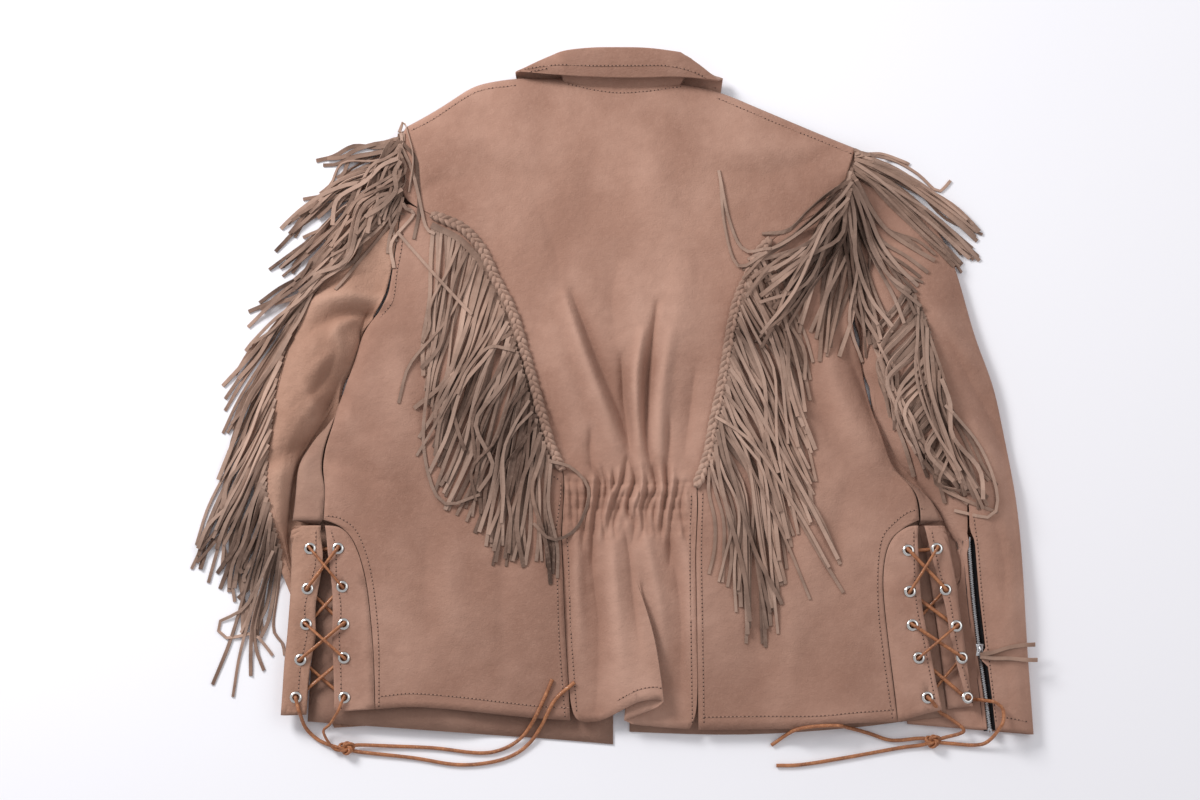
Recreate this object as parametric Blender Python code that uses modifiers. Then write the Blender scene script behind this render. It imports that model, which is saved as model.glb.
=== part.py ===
"""Fringed buckskin jacket, laid face down with its back up, collar at +Y and hem at -Y.

The garment is a flattened tube: the fronts lie on the floor, turn up round the body's sides
and meet the side backs at the side seams.  Both sleeves are flattened tubes tucked under the
body.  Sizes in the tables are millimetres; `mm` turns them into metres.
"""

import math

import bmesh
import bpy
from mathutils import Vector
from mathutils.bvhtree import BVHTree

# ---------------------------------------------------------------- driving dimensions, mm
suede = 1.5            # wall of every suede piece
seamGap = 0.35         # clear gap left between two pieces at a seam
foldGap = 1.0          # the same, each side of a seam that runs along a side fold
layerGap = 2.0         # clear gap between a panel and what lies on it
bodyTop = 20.0         # outer surface of the back above the floor, at the sides
bodyCrown = 4.0        # extra height along the middle of the back
neckDrop = 5.0         # how far the back sinks towards the neck seam
hemDrop = 7.0          # how far the middle of the back sinks towards the hem
sleeveTuck = 5.2       # flattened sleeve under the body
tuckLift = 7.2         # outer face of a front that lies on a tucked sleeve
collarLift = 4.2       # outer face of the fronts above the collar's front wings
cuffEdge = 8.0         # height of a sleeve just inside its outer fold
shoulderRoll = 11.0    # width over which the back rolls down to the shoulder seam
shoulderLow = 2.6      # height of the back at the shoulder seam
eyeletOuter = 12.7     # half-inch flange
eyeletHole = 6.4       # quarter-inch hole
eyeletBarrel = 7.6
eyeletSteps = 10
laceSize = 3.0         # round leather lace
braidWidth = 11.0
braidHeight = 4.5
fringeDepth = 6.0      # how thick a hanging fringe lies
knotSize = 14.0
zipTapeWall = 0.8
tapeDrop = 1.0         # how far the tape lies below the sleeve's face
sliderWide = 9.0
sliderLong = 13.0
sliderHigh = 4.0
thongWall = 2.6
zipTeethWidth = 6.0
zipTeethHeight = 1.7
laceWrap = 20.0        # how far the front lace panels reach under, past the side fold

# y levels shared by every panel of the body, so that seams meet row for row
bodyLevels = (205, 188, 167, 145, 120, 97, 78, 62, 35, 5, -22, -37, -60, -84, -102, -118,
              -138, -143, -155, -175, -205, -240, -280, -341)

# ---------------------------------------------------------------- outline tables, mm
# each row is (y, x) down one edge of the garment, seen from above
armholeLeft = ((290, -219), (266, -226), (241, -226), (216, -223), (205, -222), (188, -224),
               (167, -226), (131, -231), (97, -236), (78, -250), (62, -263))
armholeRight = ((266, 264), (247, 258), (224, 251), (205, 250), (188, 250), (167, 251),
                (145, 252), (120, 253), (97, 254), (78, 256), (62, 259))
sideLeft = ((62, -263), (39, -267), (5, -280), (-22, -289), (-37, -299), (-60, -321),
            (-84, -328), (-118, -330), (-155, -335), (-213, -333), (-280, -338), (-341, -341))
sideRight = ((62, 259), (35, 265), (5, 270), (-22, 277), (-37, 283), (-60, 290), (-84, 297),
             (-102, 322), (-118, 341), (-138, 349), (-155, 354), (-205, 362), (-240, 366),
             (-280, 371), (-341, 376))
seamSideLeft = ((-37, -292), (-60, -300), (-84, -303), (-102, -298), (-143, -300))
seamSideRight = ((-102, 317), (-118, 323), (-143, 324))
# the back seams that carry the braids, and below the waist the centre back's own seams
backSeamLeft = ((205, -221), (188, -187), (167, -147), (145, -131), (120, -121), (97, -109),
                (78, -101), (62, -96), (35, -89), (5, -81), (-22, -73), (-37, -69), (-60, -62),
                (-84, -49), (-102, -48), (-155, -51), (-190, -49), (-251, -47), (-341, -41))
backSeamRight = ((205, 249), (188, 215), (167, 176), (145, 158), (120, 147), (97, 136),
                 (78, 131), (62, 128), (35, 123), (5, 118), (-22, 112), (-37, 109), (-60, 104),
                 (-84, 97), (-102, 90), (-118, 92), (-174, 89), (-341, 91))
archLeft = ((-138, -300), (-143, -283), (-155, -270), (-175, -261), (-205, -253),
            (-240, -249), (-280, -245), (-341, -243))
archRight = ((-138, 324), (-143, 312), (-155, 294), (-175, 286), (-205, 283), (-240, 286),
             (-280, 290), (-341, 297))
# inner edges of the two lace panels of a side: the slit between them
slitLeftFront = ((-143, -302), (-155, -303), (-182, -296), (-197, -301), (-226, -307),
                 (-241, -307), (-258, -304), (-292, -313), (-341, -314))
slitLeftBack = ((-143, -298), (-155, -296), (-170, -295), (-199, -290), (-229, -288),
                (-263, -289), (-296, -286), (-341, -285))
slitRightBack = ((-143, 322), (-155, 321), (-195, 322), (-230, 324), (-269, 331), (-320, 339),
                 (-341, 343))
slitRightFront = ((-143, 328), (-155, 331), (-195, 339), (-215, 346), (-236, 350),
                  (-264, 353), (-281, 357), (-304, 363), (-327, 369), (-341, 372))
# the top of the back: shoulder slope, neck seam, shoulder slope
topLine = ((-219, 290), (-190, 306), (-144, 338), (-97, 345), (-49, 342), (-20, 335), (9, 331),
           (42, 333), (75, 338), (117, 330), (178, 303), (235, 278), (264, 266))
# the fronts' own upper edges below that line, on the floor
frontTopLeft = ((3, 207), (-14, 250), (-38, 296), (-62, 331), (-97, 334), (-144, 327),
                (-190, 295), (-217, 279))
frontTopRight = ((20, 207), (36, 250), (58, 290), (84, 322), (112, 318), (176, 291),
                 (233, 266), (259, 256))
# (x, y) of the back's hem, without the centre back
backHem = ((-343, -341), (-316, -340), (-287, -338), (-243, -335), (-205, -332), (-160, -335),
           (-115, -340), (-70, -345), (-41, -346), (91, -356), (174, -355), (214, -355),
           (230, -350), (297, -348), (324, -340), (350, -334), (380, -331))
frontHemLeft = ((-300, -347), (-235, -354), (-160, -358), (-115, -361), (-51, -365), (3, -370))
frontHemRight = ((350, -341), (224, -357), (174, -361), (95, -364), (24, -369), (20, -357))
# creases of the back: each runs through (x, y), with its height and half width
backCreases = (
    (((-36, 103), (-16, 22), (19, -61)), 4.5, 12),
    (((49, 91), (23, 11), (25, -71)), 4.0, 11),
    (((41, 9), (37, -20), (47, -96)), 3.0, 7),
)
# (x, y, z) of the centre back's hem: a trench, then a flap that folds over to the right
hemProfile = ((-41, -346, 13), (-26, -348, 12.5), (-15, -348, 11), (-6, -345, 14), (8, -338, 23),
              (28, -328, 31), (47, -325, 33), (56, -327, 29), (50, -333, 24.5), (32, -340, 21),
              (15, -346, 17.5), (21, -350, 13.5), (40, -352, 12), (62, -354, 13),
              (91, -356, 13))
pleatHeight = 2.6      # waist pleats above and below the back
pleatCount = 12

# sleeves: stations from armhole to cuff.  Columns: outer x, y; inner x, y; puff above the
# floor; share of the width at the back-arm seam; 1 where the cuff zip opens that seam
sleeveRight = (
    (272, 263, 262, 71, 0, 0.60, 0),
    (300, 238, 266.5, 57, 10, 0.56, 0),
    (333, 204, 269, 38, 16, 0.56, 0),
    (360, 160, 274, 20, 20, 0.58, 0),
    (375, 103, 276, 0, 23, 0.60, 0),
    (386, 52, 277, -22, 25, 0.61, 0),
    (404, 8, 280, -48, 25, 0.60, 0),
    (412, -42, 284, -78, 24, 0.60, 0),
    (423, -103, 290, -112, 22, 0.60, 0),
    (428, -158, 295, -158, 19, 0.60, 1),
    (430, -215, 298, -212, 17, 0.61, 1),
    (432, -275, 303, -270, 15, 0.63, 1),
    (435, -325, 306, -318, 13, 0.65, 1),
    (437, -360, 308, -349, 11, 0.66, 1),
)
sleeveLeft = (
    (-226, 287, -267, 74, 0, 0.52, 0),
    (-252, 238, -274, 58, 12, 0.66, 0),
    (-282, 190, -276, 38, 18, 0.78, 0),
    (-308, 140, -279, 20, 22, 0.84, 0),
    (-336, 84, -284, 2, 24, 0.88, 0),
    (-352, 32, -285, -18, 24, 0.90, 0),
    (-362, -22, -280, -42, 22, 0.92, 0),
    (-371, -76, -270, -76, 20, 0.92, 0),
    (-366, -124, -256, -118, 16, 0.92, 0),
    (-352, -172, -240, -158, 4, 0.92, 0),
    (-334, -214, -226, -200, 0, 0.92, 0),
    (-318, -262, -208, -244, 0, 0.92, 0),
    (-302, -312, -190, -296, 0, 0.92, 0),
    (-287, -353, -172, -346, 0, 0.92, 0),
)
zipGap = 8.0           # half the opening between the sleeve pieces along the zip
hiddenSeam = 0.3       # where a sleeve's hidden seam lies, as a share from its inner edge
edgeClear = 6.0        # how far outside the body's edge a tucked sleeve starts to rise
underarm = 66          # the sleeves' armhole stations end above this y
armholeSink = 9.0      # how far the armhole end sinks towards the shoulder
underGap = 2.5         # clear gap at the hidden side of the armhole
armholeFlat = 16.0     # flat strip of each front beside its armhole edge
underarmClear = 4.0    # extra gap beside the body's fold at the underarm

# eyelets: (side, panel, x, y)
eyelets = (
    ("left", "front", ((-313, -168), (-315, -210), (-316, -247), (-321, -284), (-325, -323))),
    ("left", "back", ((-284, -168), (-279, -208), (-277, -247), (-276, -282), (-275, -323))),
    ("right", "back", ((311, -170), (312, -213), (314, -248), (320, -282), (328, -323))),
    ("right", "front", ((341, -168), (349, -211), (359.5, -249), (364.5, -282), (369.5, -323))),
)
# fringes: each lies between the seam it hangs from and the reach of its ends, as (x, y)
fringes = {
    "fringe_back_left": (
        ((-190, 178), (-152, 155), (-128, 113), (-106, 46), (-88, -18), (-66, -72)),
        ((-194, 18), (-180, -8), (-160, -70), (-140, -140), (-112, -176), (-70, -172))),
    "fringe_back_right": (
        ((176, 148), (153, 106), (139, 66), (130, 10), (117, -48), (101, -88)),
        ((218, 58), (204, -30), (192, -120), (172, -232), (146, -246), (104, -206))),
    "fringe_shoulder_left": (
        ((-226, 281), (-230, 252), (-228, 222), (-222, 190)),
        ((-296, 240), (-330, 196), (-343, 158), (-322, 118))),
    "fringe_shoulder_right": (
        ((264, 256), (256, 236), (250, 214), (247, 192)),
        ((386, 178), (362, 142), (318, 118), (240, 52))),
    "fringe_sleeve_left": (
        ((-246, 170), (-300, 118), (-333, 70), (-352, 16), (-364, -36), (-372, -82),
         (-364, -136), (-350, -184)),
        ((-348, 118), (-398, 34), (-410, -32), (-428, -118), (-440, -182), (-420, -300),
         (-392, -324), (-352, -232))),
    "fringe_sleeve_right": (
        ((316, 118), (335, 72), (349, 20), (358, -40), (362, -100)),
        ((262, 62), (280, 14), (306, -44), (342, -98), (392, -122))),
}
# lace tails: (x, y, clearance above what lies beneath)
tails = {
    "lace_tail_left_upper": ((-264, -371, 4), (-227, -372, 1), (-182, -374, 0.4),
                             (-138, -379, 0.4), (-114, -376, 0.4), (-94, -365, 0.6),
                             (-80, -347, 0.6), (-69, -325, 0.4), (-60, -304, 0.4)),
    "lace_tail_left_lower": ((-265, -378, 2), (-205, -384, 0.4), (-160, -391, 0.4),
                             (-126, -389, 0.4), (-100, -381, 0.4), (-82, -367, 0.6),
                             (-69, -347, 0.6), (-57, -325, 0.4), (-37, -307, 0.4)),
    "lace_tail_right_upper": ((325, -364, 4), (292, -366, 1), (269, -359, 0.6),
                              (249, -354, 0.6), (225, -352, 0.6), (192, -356, 0.6),
                              (167, -371, 0.4)),
    "lace_tail_right_lower": ((325, -371, 2), (299, -374, 0.4), (249, -383, 0.4),
                              (199, -391, 0.4), (172, -392, 0.4)),
}
knots = {"left": (-273, -374), "right": (334, -367)}
# leads from the last eyelets to the knot: (x, y, clearance above what lies beneath)
leads = {
    "left": {"front": ((-321, -338, 2), (-316, -353, 2), (-302, -366, 1), (-282, -373, 4)),
             "back": ((-281, -338, 2), (-290, -350, 2), (-297, -358, 6), (-282, -378, 2))},
    "right": {"front": ((392, -328, 3), (404, -335, 5), (403, -352, 5), (386, -370, 2),
                        (345, -369, 2)),
              "back": ((342, -338, 2), (355, -346, 2), (366, -357, 5), (345, -363, 4))},
}
# the suede thong on the zip's slider: (x, y, drop below where it would lie)
thong = ((390, -280, 0), (400, -281, 0), (412, -280, 0), (424, -278, 0), (436, -277, 2),
         (446, -276, 5))
MM = 0.001

# ---------------------------------------------------------------- colours
tan = (0.479, 0.275, 0.202)
tanLight = (0.52, 0.31, 0.225)
fringeTan = (0.33, 0.205, 0.15)
rust = (0.40, 0.13, 0.05)
nickel = (0.78, 0.77, 0.75)
black = (0.015, 0.015, 0.017)


def material(name, colour, roughness, metallic=0.0):
    mat = bpy.data.materials.new(name)
    mat.use_nodes = True
    shader = mat.node_tree.nodes["Principled BSDF"]
    shader.inputs["Base Color"].default_value = (*colour, 1.0)
    shader.inputs["Roughness"].default_value = roughness
    shader.inputs["Metallic"].default_value = metallic
    return mat


def smooth(low, high, value):
    """0 below low, 1 above high and an even slope between; low may be the larger."""
    t = min(1.0, max(0.0, (value - low) / (high - low)))
    return t * t * (3 - 2 * t)


def across(edge, y):
    """x where an edge, given as (y, x) rows running down, crosses the level y."""
    if y >= edge[0][0]:
        return edge[0][1]
    for (y0, x0), (y1, x1) in zip(edge, edge[1:]):
        if y >= y1:
            return x0 + (x1 - x0) * (y0 - y) / (y0 - y1)
    return edge[-1][1]


def along(points, count):
    """count points evenly spaced along a polyline."""
    points = [Vector(p) for p in points]
    lengths = [0.0]
    for a, b in zip(points, points[1:]):
        lengths.append(lengths[-1] + (b - a).length)
    found, i = [], 0
    for k in range(count):
        want = lengths[-1] * k / (count - 1)
        while i < len(points) - 2 and lengths[i + 1] < want:
            i += 1
        t = (want - lengths[i]) / max(1e-9, lengths[i + 1] - lengths[i])
        found.append(points[i].lerp(points[i + 1], min(1.0, t)))
    return found


def rounded(points, steps):
    """A Catmull-Rom curve through the points, with `steps` points for each span."""
    points = [Vector(p) for p in points]
    ends = [points[0] * 2 - points[1]] + points + [points[-1] * 2 - points[-2]]
    found = []
    for p0, p1, p2, p3 in zip(ends, ends[1:], ends[2:], ends[3:]):
        for k in range(steps):
            t = k / steps
            found.append(0.5 * (2 * p1 + (p2 - p0) * t + (2 * p0 - 5 * p1 + 4 * p2 - p3) * t**2
                                + (3 * p1 - p0 - 3 * p2 + p3) * t**3))
    return found + [points[-1]]


def distanceTo(points, x, y):
    """How far (x, y) is from a polyline, and how far along it the nearest point is, 0 to 1."""
    best, where, at = 1e9, 0.0, Vector((x, y))
    spans = len(points) - 1
    for k, (a, b) in enumerate(zip(points, points[1:])):
        a, b = Vector(a), Vector(b)
        t = min(1.0, max(0.0, (at - a).dot(b - a) / (b - a).length_squared))
        d = (at - a.lerp(b, t)).length
        if d < best:
            best, where = d, (k + t) / spans
    return best, where


# ---------------------------------------------------------------- the body's two surfaces
def backHeight(x, y):
    """Outer surface of the back, mm above the floor."""
    middle = 1 - smooth(60, 230, abs(x - 20))
    z = bodyTop + bodyCrown * middle * smooth(-341, -250, y)
    z -= (neckDrop + bodyCrown * middle) * smooth(230, 335, y)
    z -= hemDrop * smooth(-150, -330, y) * (1 - smooth(150, 240, abs(x - 20)))
    for line, height, width in backCreases:
        d, t = distanceTo(line, x, y)
        z += height * math.exp(-((d / width) ** 2)) * math.sin(math.pi * (0.12 + 0.8 * t))
    return z


def innerSleeve(rows, y):
    """x of a sleeve's hidden inner edge at the level y."""
    return across([(row[3], row[2]) for row in rows], y)


def frontHeight(x, y):
    """Outer surface of the fronts: the floor, or what lies between them and the floor."""
    under = smooth(56, 8, y)
    left = smooth(innerSleeve(sleeveLeft, y) + 48, innerSleeve(sleeveLeft, y) + 10, x)
    right = smooth(innerSleeve(sleeveRight, y) - 48, innerSleeve(sleeveRight, y) - 10, x)
    wings = smooth(145, 170, y) * smooth(212, 172, abs(x - 8))
    return max(tuckLift * under * max(left, right), collarLift * wings)


def sideEdge(side, y):
    """The side fold at a level: x of its extreme, and its two heights."""
    edge, arm = (sideLeft, armholeLeft) if side < 0 else (sideRight, armholeRight)
    if y > 62:
        x = across(arm, y)
        low, high = frontHeight(x, y), backHeight(x, y)
        return abs(x) + (high - low) / 2, low, high
    x = across(edge, y)
    inside = x - side * (bodyTop / 2)
    return abs(x), frontHeight(inside, y), backHeight(inside, y)


def wrap(side, s, y):
    """A point of the body s mm round from the side fold's extreme: s > 0 on the back."""
    reach, low, high = sideEdge(side, y)
    r = (high - low) / 2
    quarter = r * math.pi / 2
    if abs(s) <= quarter:
        angle = s / r
        return (side * (reach - r * (1 - math.cos(angle))), y, low + r + r * math.sin(angle))
    x = side * (reach - r - (abs(s) - quarter))
    return (x, y, backHeight(x, y) if s > 0 else frontHeight(x, y))


def unwrap(side, x, y, top=True):
    """The s of a point (x, y) of the back, or of the front."""
    reach, low, high = sideEdge(side, y)
    r = (high - low) / 2
    s = r * math.pi / 2 + reach - r - side * x
    return s if top else -s


def quarterTurn(side, y):
    reach, low, high = sideEdge(side, y)
    return (high - low) * math.pi / 4


# ---------------------------------------------------------------- makers
def addObject(name, mesh, mat):
    obj = bpy.data.objects.new(name, mesh)
    obj.data.materials.append(mat)
    jacket.objects.link(obj)
    return obj


def sheet(name, rows, mat, wall=suede, facing=1.0, probe=0):
    """A suede panel: rows of (x, y, z) on its outer face, given its wall by Solidify.

    facing is the sign of z of the outward normal where row `probe` begins.
    """
    mesh = bpy.data.meshes.new(name)
    points = [Vector(p) * MM for row in rows for p in row]
    wide = len(rows[0])
    faces = [(i * wide + j, i * wide + j + 1, (i + 1) * wide + j + 1, (i + 1) * wide + j)
             for i in range(len(rows) - 1) for j in range(wide - 1)]
    mesh.from_pydata(points, [], faces)
    mesh.update()
    if mesh.polygons[probe * (wide - 1)].normal.z * facing < 0:
        mesh.flip_normals()
    obj = addObject(name, mesh, mat)
    solid = obj.modifiers.new("Wall", "SOLIDIFY")
    solid.thickness = wall * MM
    solid.offset = -1
    solid.thickness_clamp = 0
    for face in mesh.polygons:
        face.use_smooth = True
    mesh.set_sharp_from_angle(angle=math.radians(50))
    return obj


def solidTree(names):
    """One search tree over the finished surfaces of the named pieces, in mm."""
    points, faces = [], []
    graph = bpy.context.evaluated_depsgraph_get()
    for name in names:
        shape = bpy.data.objects[name].evaluated_get(graph).to_mesh()
        start = len(points)
        points += [v.co / MM for v in shape.vertices]
        faces += [[start + i for i in face.vertices] for face in shape.polygons]
    return BVHTree.FromPolygons(points, faces)


def restOn(tree, x, y, spread=0.0):
    """The highest surface under (x, y), or within spread of it; 0 on the floor."""
    top = 0.0
    spots = [(x, y)]
    for k in range(8 if spread else 0):
        turn = k * math.pi / 4
        spots.append((x + spread * math.cos(turn), y + spread * math.sin(turn)))
    for px, py in spots:
        hit = tree.ray_cast(Vector((px, py, 500)), Vector((0, 0, -1)))[0]
        if hit:
            top = max(top, hit.z)
    return top


def layer(name, rows, tree, mat, wall, gap=layerGap, spread=4.0):
    """A piece that lies on others: rows of (x, y), resting on the tree."""
    found = []
    for row in rows:
        line = []
        for x, y in row:
            under = restOn(tree, x, y, spread)
            line.append((x, y, (under + gap if under > 0 else 0.0) + wall))
        found.append(line)
    return sheet(name, found, mat, wall)


def tube(name, points, size, mat):
    """A round lace along points in mm."""
    curve = bpy.data.curves.new(name, "CURVE")
    curve.dimensions = "3D"
    curve.bevel_depth = size / 2 * MM
    curve.bevel_resolution = 2
    curve.use_fill_caps = True
    line = curve.splines.new("POLY")
    line.points.add(len(points) - 1)
    for point, place in zip(line.points, points):
        point.co = (*(Vector(place) * MM), 1.0)
    return addObject(name, curve, mat)


# ---------------------------------------------------------------- body panels
def centreBack(mat):
    """Neck and shoulders to hem in one piece, shirred at the waist."""
    columns = 2 * pleatCount
    rows = []
    # the shoulders: blend from the top line to the first shared level
    top = along([(x, y, 0) for x, y in topLine], columns + 1)
    neckStep = 0.045
    level = bodyLevels[0]
    left, right = across(backSeamLeft, level), across(backSeamRight, level)
    base = [Vector((left + (right - left) * k / columns, level, 0)) for k in range(columns + 1)]
    onNeck = [abs(p.x - 13) < 62 for p in top]
    inner = [p + Vector((0, 0 if neck else -shoulderRoll, 0)) for p, neck in zip(top, onNeck)]
    for angle in (90, 62, 34):
        row = []
        for p, q, neck in zip(top, inner, onNeck):
            turn = math.radians(angle)
            spot = q.lerp(p, math.sin(turn))
            high = backHeight(q.x, q.y)
            z = high if neck else shoulderLow + (high - shoulderLow) * math.cos(turn)
            row.append((spot.x, spot.y - (neckStep * (90 - angle) if neck else 0), z))
        rows.append(row)
    for t in (0.0, 0.22, 0.48, 0.74):
        row = []
        for q, b in zip(inner, base):
            spot = q.lerp(b, t)
            row.append((spot.x, spot.y - (5 if t == 0 else 0), backHeight(spot.x, spot.y)))
        rows.append(row)
    # the armhole edges bow out a little between the shoulder and the first level
    for row in rows:
        row[0] = (across(armholeLeft, row[0][1]) + seamGap, row[0][1], row[0][2])
        row[-1] = (across(armholeRight, row[-1][1]) - seamGap, row[-1][1], row[-1][2])
    # down the V, the shirred waist and the skirt with its folded flap
    hem = along(hemProfile, columns + 1)
    waistEnd = -150.0
    for level in bodyLevels:
        if level in (-138, -143):
            continue
        left = across(backSeamLeft, level) + seamGap
        right = across(backSeamRight, level) - seamGap
        row = []
        shirr = smooth(-78, -98, level) * smooth(-176, -150, level)
        fall = smooth(waistEnd + 6, bodyLevels[-1], level) ** 0.8
        for k in range(columns + 1):
            share = k / columns
            x = left + (right - left) * share
            z = backHeight(x, level)
            if 0 < k < columns:
                z += shirr * pleatHeight * (1 if k % 2 else -1)
                z += fall * (hem[k].z - z)
                x += fall * (hem[k].x - x)
            y = level + fall * (hem[k].y - bodyLevels[-1]) if 0 < k < columns else level
            row.append((x, y, z))
        rows.append(row)
    return sheet("centre_back", rows, mat)


def toHem(rows):
    """Moves the last row of a panel to the back's hem."""
    edge = [(-x, y) for x, y in backHem]
    rows[-1] = [(x, across(edge, -x), z) for x, y, z in rows[-1]]
    return rows


def sideBack(name, side, mat):
    seam, inner = (seamSideLeft, backSeamLeft) if side < 0 else (seamSideRight, backSeamRight)
    arch = archLeft if side < 0 else archRight
    columns = 7
    rows = []
    for level in bodyLevels:
        y = level if level < 205 else 201
        quarter = quarterTurn(side, y)
        if y > 62:
            outer = quarter + seamGap
        elif y > seam[0][0]:
            outer = foldGap
        elif y >= -138:
            outer = unwrap(side, across(seam, y), y) + (seamGap if y < seam[2][0] else foldGap)
        else:
            outer = unwrap(side, across(arch, y), y) + seamGap
        far = unwrap(side, across(inner, y) + side * seamGap, y)
        rows.append([wrap(side, outer + (far - outer) * (k / columns) ** 1.3, y)
                     for k in range(columns + 1)])
    return sheet(name, toHem(rows), mat)


def front(name, side, mat):
    """On the floor from the front edge, round the side fold to the side seam."""
    seam = seamSideLeft if side < 0 else seamSideRight
    upper = [(x, y) for x, y in (frontTopLeft if side < 0 else frontTopRight)]
    hem = frontHemLeft if side < 0 else frontHemRight
    hem = sorted(hem)
    centre = 3 if side < 0 else 20
    rows = []
    # above the first shared level the front narrows to its shoulder and neck edges
    ends = along([(x, y, 0) for x, y in upper], 10)
    first = [centre + (across(armholeLeft if side < 0 else armholeRight, 205)
                       - side * seamGap - centre) * k / 9 for k in range(10)]
    for t in (1.0, 0.66, 0.33):
        row = []
        for k in range(10):
            x = first[k] + (ends[k].x - first[k]) * t
            y = 205 + (ends[k].y - 205) * t
            row.append((x, y, frontHeight(x, y)))
        row[-1] = (across(armholeLeft if side < 0 else armholeRight, row[-1][1])
                   - side * seamGap, row[-1][1], row[-1][2])
        rows.append(row)
    for y in bodyLevels:
        quarter = quarterTurn(side, y)
        start = unwrap(side, centre, y, top=False)
        if y > 62:
            outer = -quarter
        elif y > seam[0][0]:
            outer = -foldGap
        elif y >= -138:
            outer = unwrap(side, across(seam, y), y) - (seamGap if y < seam[2][0] else foldGap)
        else:
            outer = -quarter - laceWrap - foldGap
        turnIn = min(-quarter, outer) if y <= 62 else outer - armholeFlat
        shares = (0, 0.25, 0.5, 0.7, 0.85, 1)
        stops = [start + (turnIn - start) * share for share in shares]
        if y < 62:
            # columns where the front starts to climb on the tucked sleeve, and where it is up
            inner = innerSleeve(sleeveLeft if side < 0 else sleeveRight, y)
            for k, inward in ((2, 50), (3, 29), (4, 8)):
                stops[k] = unwrap(side, inner - side * inward, y, top=False)
            stops[1] = (stops[0] + stops[2]) / 2
        row = [wrap(side, stop, y) for stop in stops]
        row += [wrap(side, turnIn + (outer - turnIn) * k / 4, y) for k in range(1, 5)]
        rows.append(row)
    # the hem: the last level moved down to the hem line
    last = []
    for x, y, z in rows[-1]:
        level = next((y0 + (y1 - y0) * (x - x0) / (x1 - x0)
                      for (x0, y0), (x1, y1) in zip(hem, hem[1:]) if x0 <= x <= x1),
                     hem[0][1] if x < hem[0][0] else hem[-1][1])
        last.append((x, level, z))
    rows[-1] = last
    return sheet(name, rows, mat, facing=-1.0, probe=len(rows) - 6)


# ---------------------------------------------------------------- sleeves
def coveredShare(side, station):
    """How much of a sleeve's width, from its inner edge, lies under the body."""
    ox, oy, ix, iy = station[:4]
    edge = sideLeft if side < 0 else sideRight
    covered = 0.0
    for k in range(101):
        x, y = ix + (ox - ix) * k / 100, iy + (oy - iy) * k / 100
        if y < 62 and side * x < abs(across(edge, y)) + edgeClear:
            covered = k / 100
    return covered


def sleeveTop(side, station, share):
    """Height of a sleeve's upper face at a share of the way from its inner to its outer edge."""
    ox, oy, ix, iy, puff, seam, opened = station
    x, y = ix + (ox - ix) * share, iy + (oy - iy) * share
    if iy > underarm:
        return backHeight(x, y) - armholeSink * smooth(0.8, 1.0, share)
    covered = coveredShare(side, station)
    if share <= covered or puff == 0:
        return sleeveTuck
    t = (share - covered) / (1 - covered)
    low = sleeveTuck + (cuffEdge - sleeveTuck) * smooth(0, 0.3, t)
    return low + puff * math.sin(math.pi * t) ** 0.6


def sleevePlace(side, stations, number, share):
    """(x, y) at a share of a station; the first ones follow the armhole's curve."""
    ox, oy, ix, iy = stations[number][:4]
    x, y = ix + (ox - ix) * share, iy + (oy - iy) * share
    bow = (1.0, 0.5, 0.2)[number] if number < 3 else 0.0
    if bow:
        fx, fy, gx, gy = stations[0][:4]
        level = gy + (fy - gy) * share
        chord = gx + (fx - gx) * share
        arm = across(armholeLeft if side < 0 else armholeRight, level)
        arm += side * (2 * seamGap + underarmClear * smooth(0.3, 0.0, share))
        x += bow * (arm - chord)
    return x, y


def sleevePiece(name, side, stations, outerPiece, mat):
    """One of a sleeve's two pieces, from the back-arm seam round a fold to the hidden seam."""
    rows = []
    sign = 1 if outerPiece else -1
    for number, station in enumerate(stations):
        ox, oy, ix, iy, puff, seam, opened = station
        wide = math.hypot(ox - ix, oy - iy)
        outward = Vector((ox - ix, oy - iy)) / wide * sign
        start = seam + sign * (zipGap * opened + seamGap) / wide
        edge = 1.0 if outerPiece else 0.0
        under = hiddenSeam + sign * seamGap / wide
        high = sleeveTop(side, station, edge)
        turn = edge - sign * high / 2 / wide
        if outerPiece:
            shares = [start + (turn - start) * k / 7 for k in range(8)]
        else:
            covered = min(max(coveredShare(side, station), turn + 0.02), start - 0.03)
            step = (start - covered) / 5
            shares = [start - step * k for k in (0, 1, 2, 3, 4, 4.7)] + [covered, turn]
        row = [(*sleevePlace(side, stations, number, share),
                sleeveTop(side, station, share)) for share in shares]
        x, y, top = row[-1]
        for k in (1, 2, 3):
            angle = math.pi / 2 - math.pi * k / 4
            out = outward * (top / 2 * math.cos(angle))
            row.append((x + out.x, y + out.y, top / 2 + top / 2 * math.sin(angle)))
        beneath = [sleevePlace(side, stations, number, turn + (under - turn) * k / 3)
                   for k in range(4)]
        clear = side * underGap * (number == 0)
        row += [(x + clear, y, 0.0) for x, y in beneath]
        rows.append(row)
    return sheet(name, rows, mat)


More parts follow.
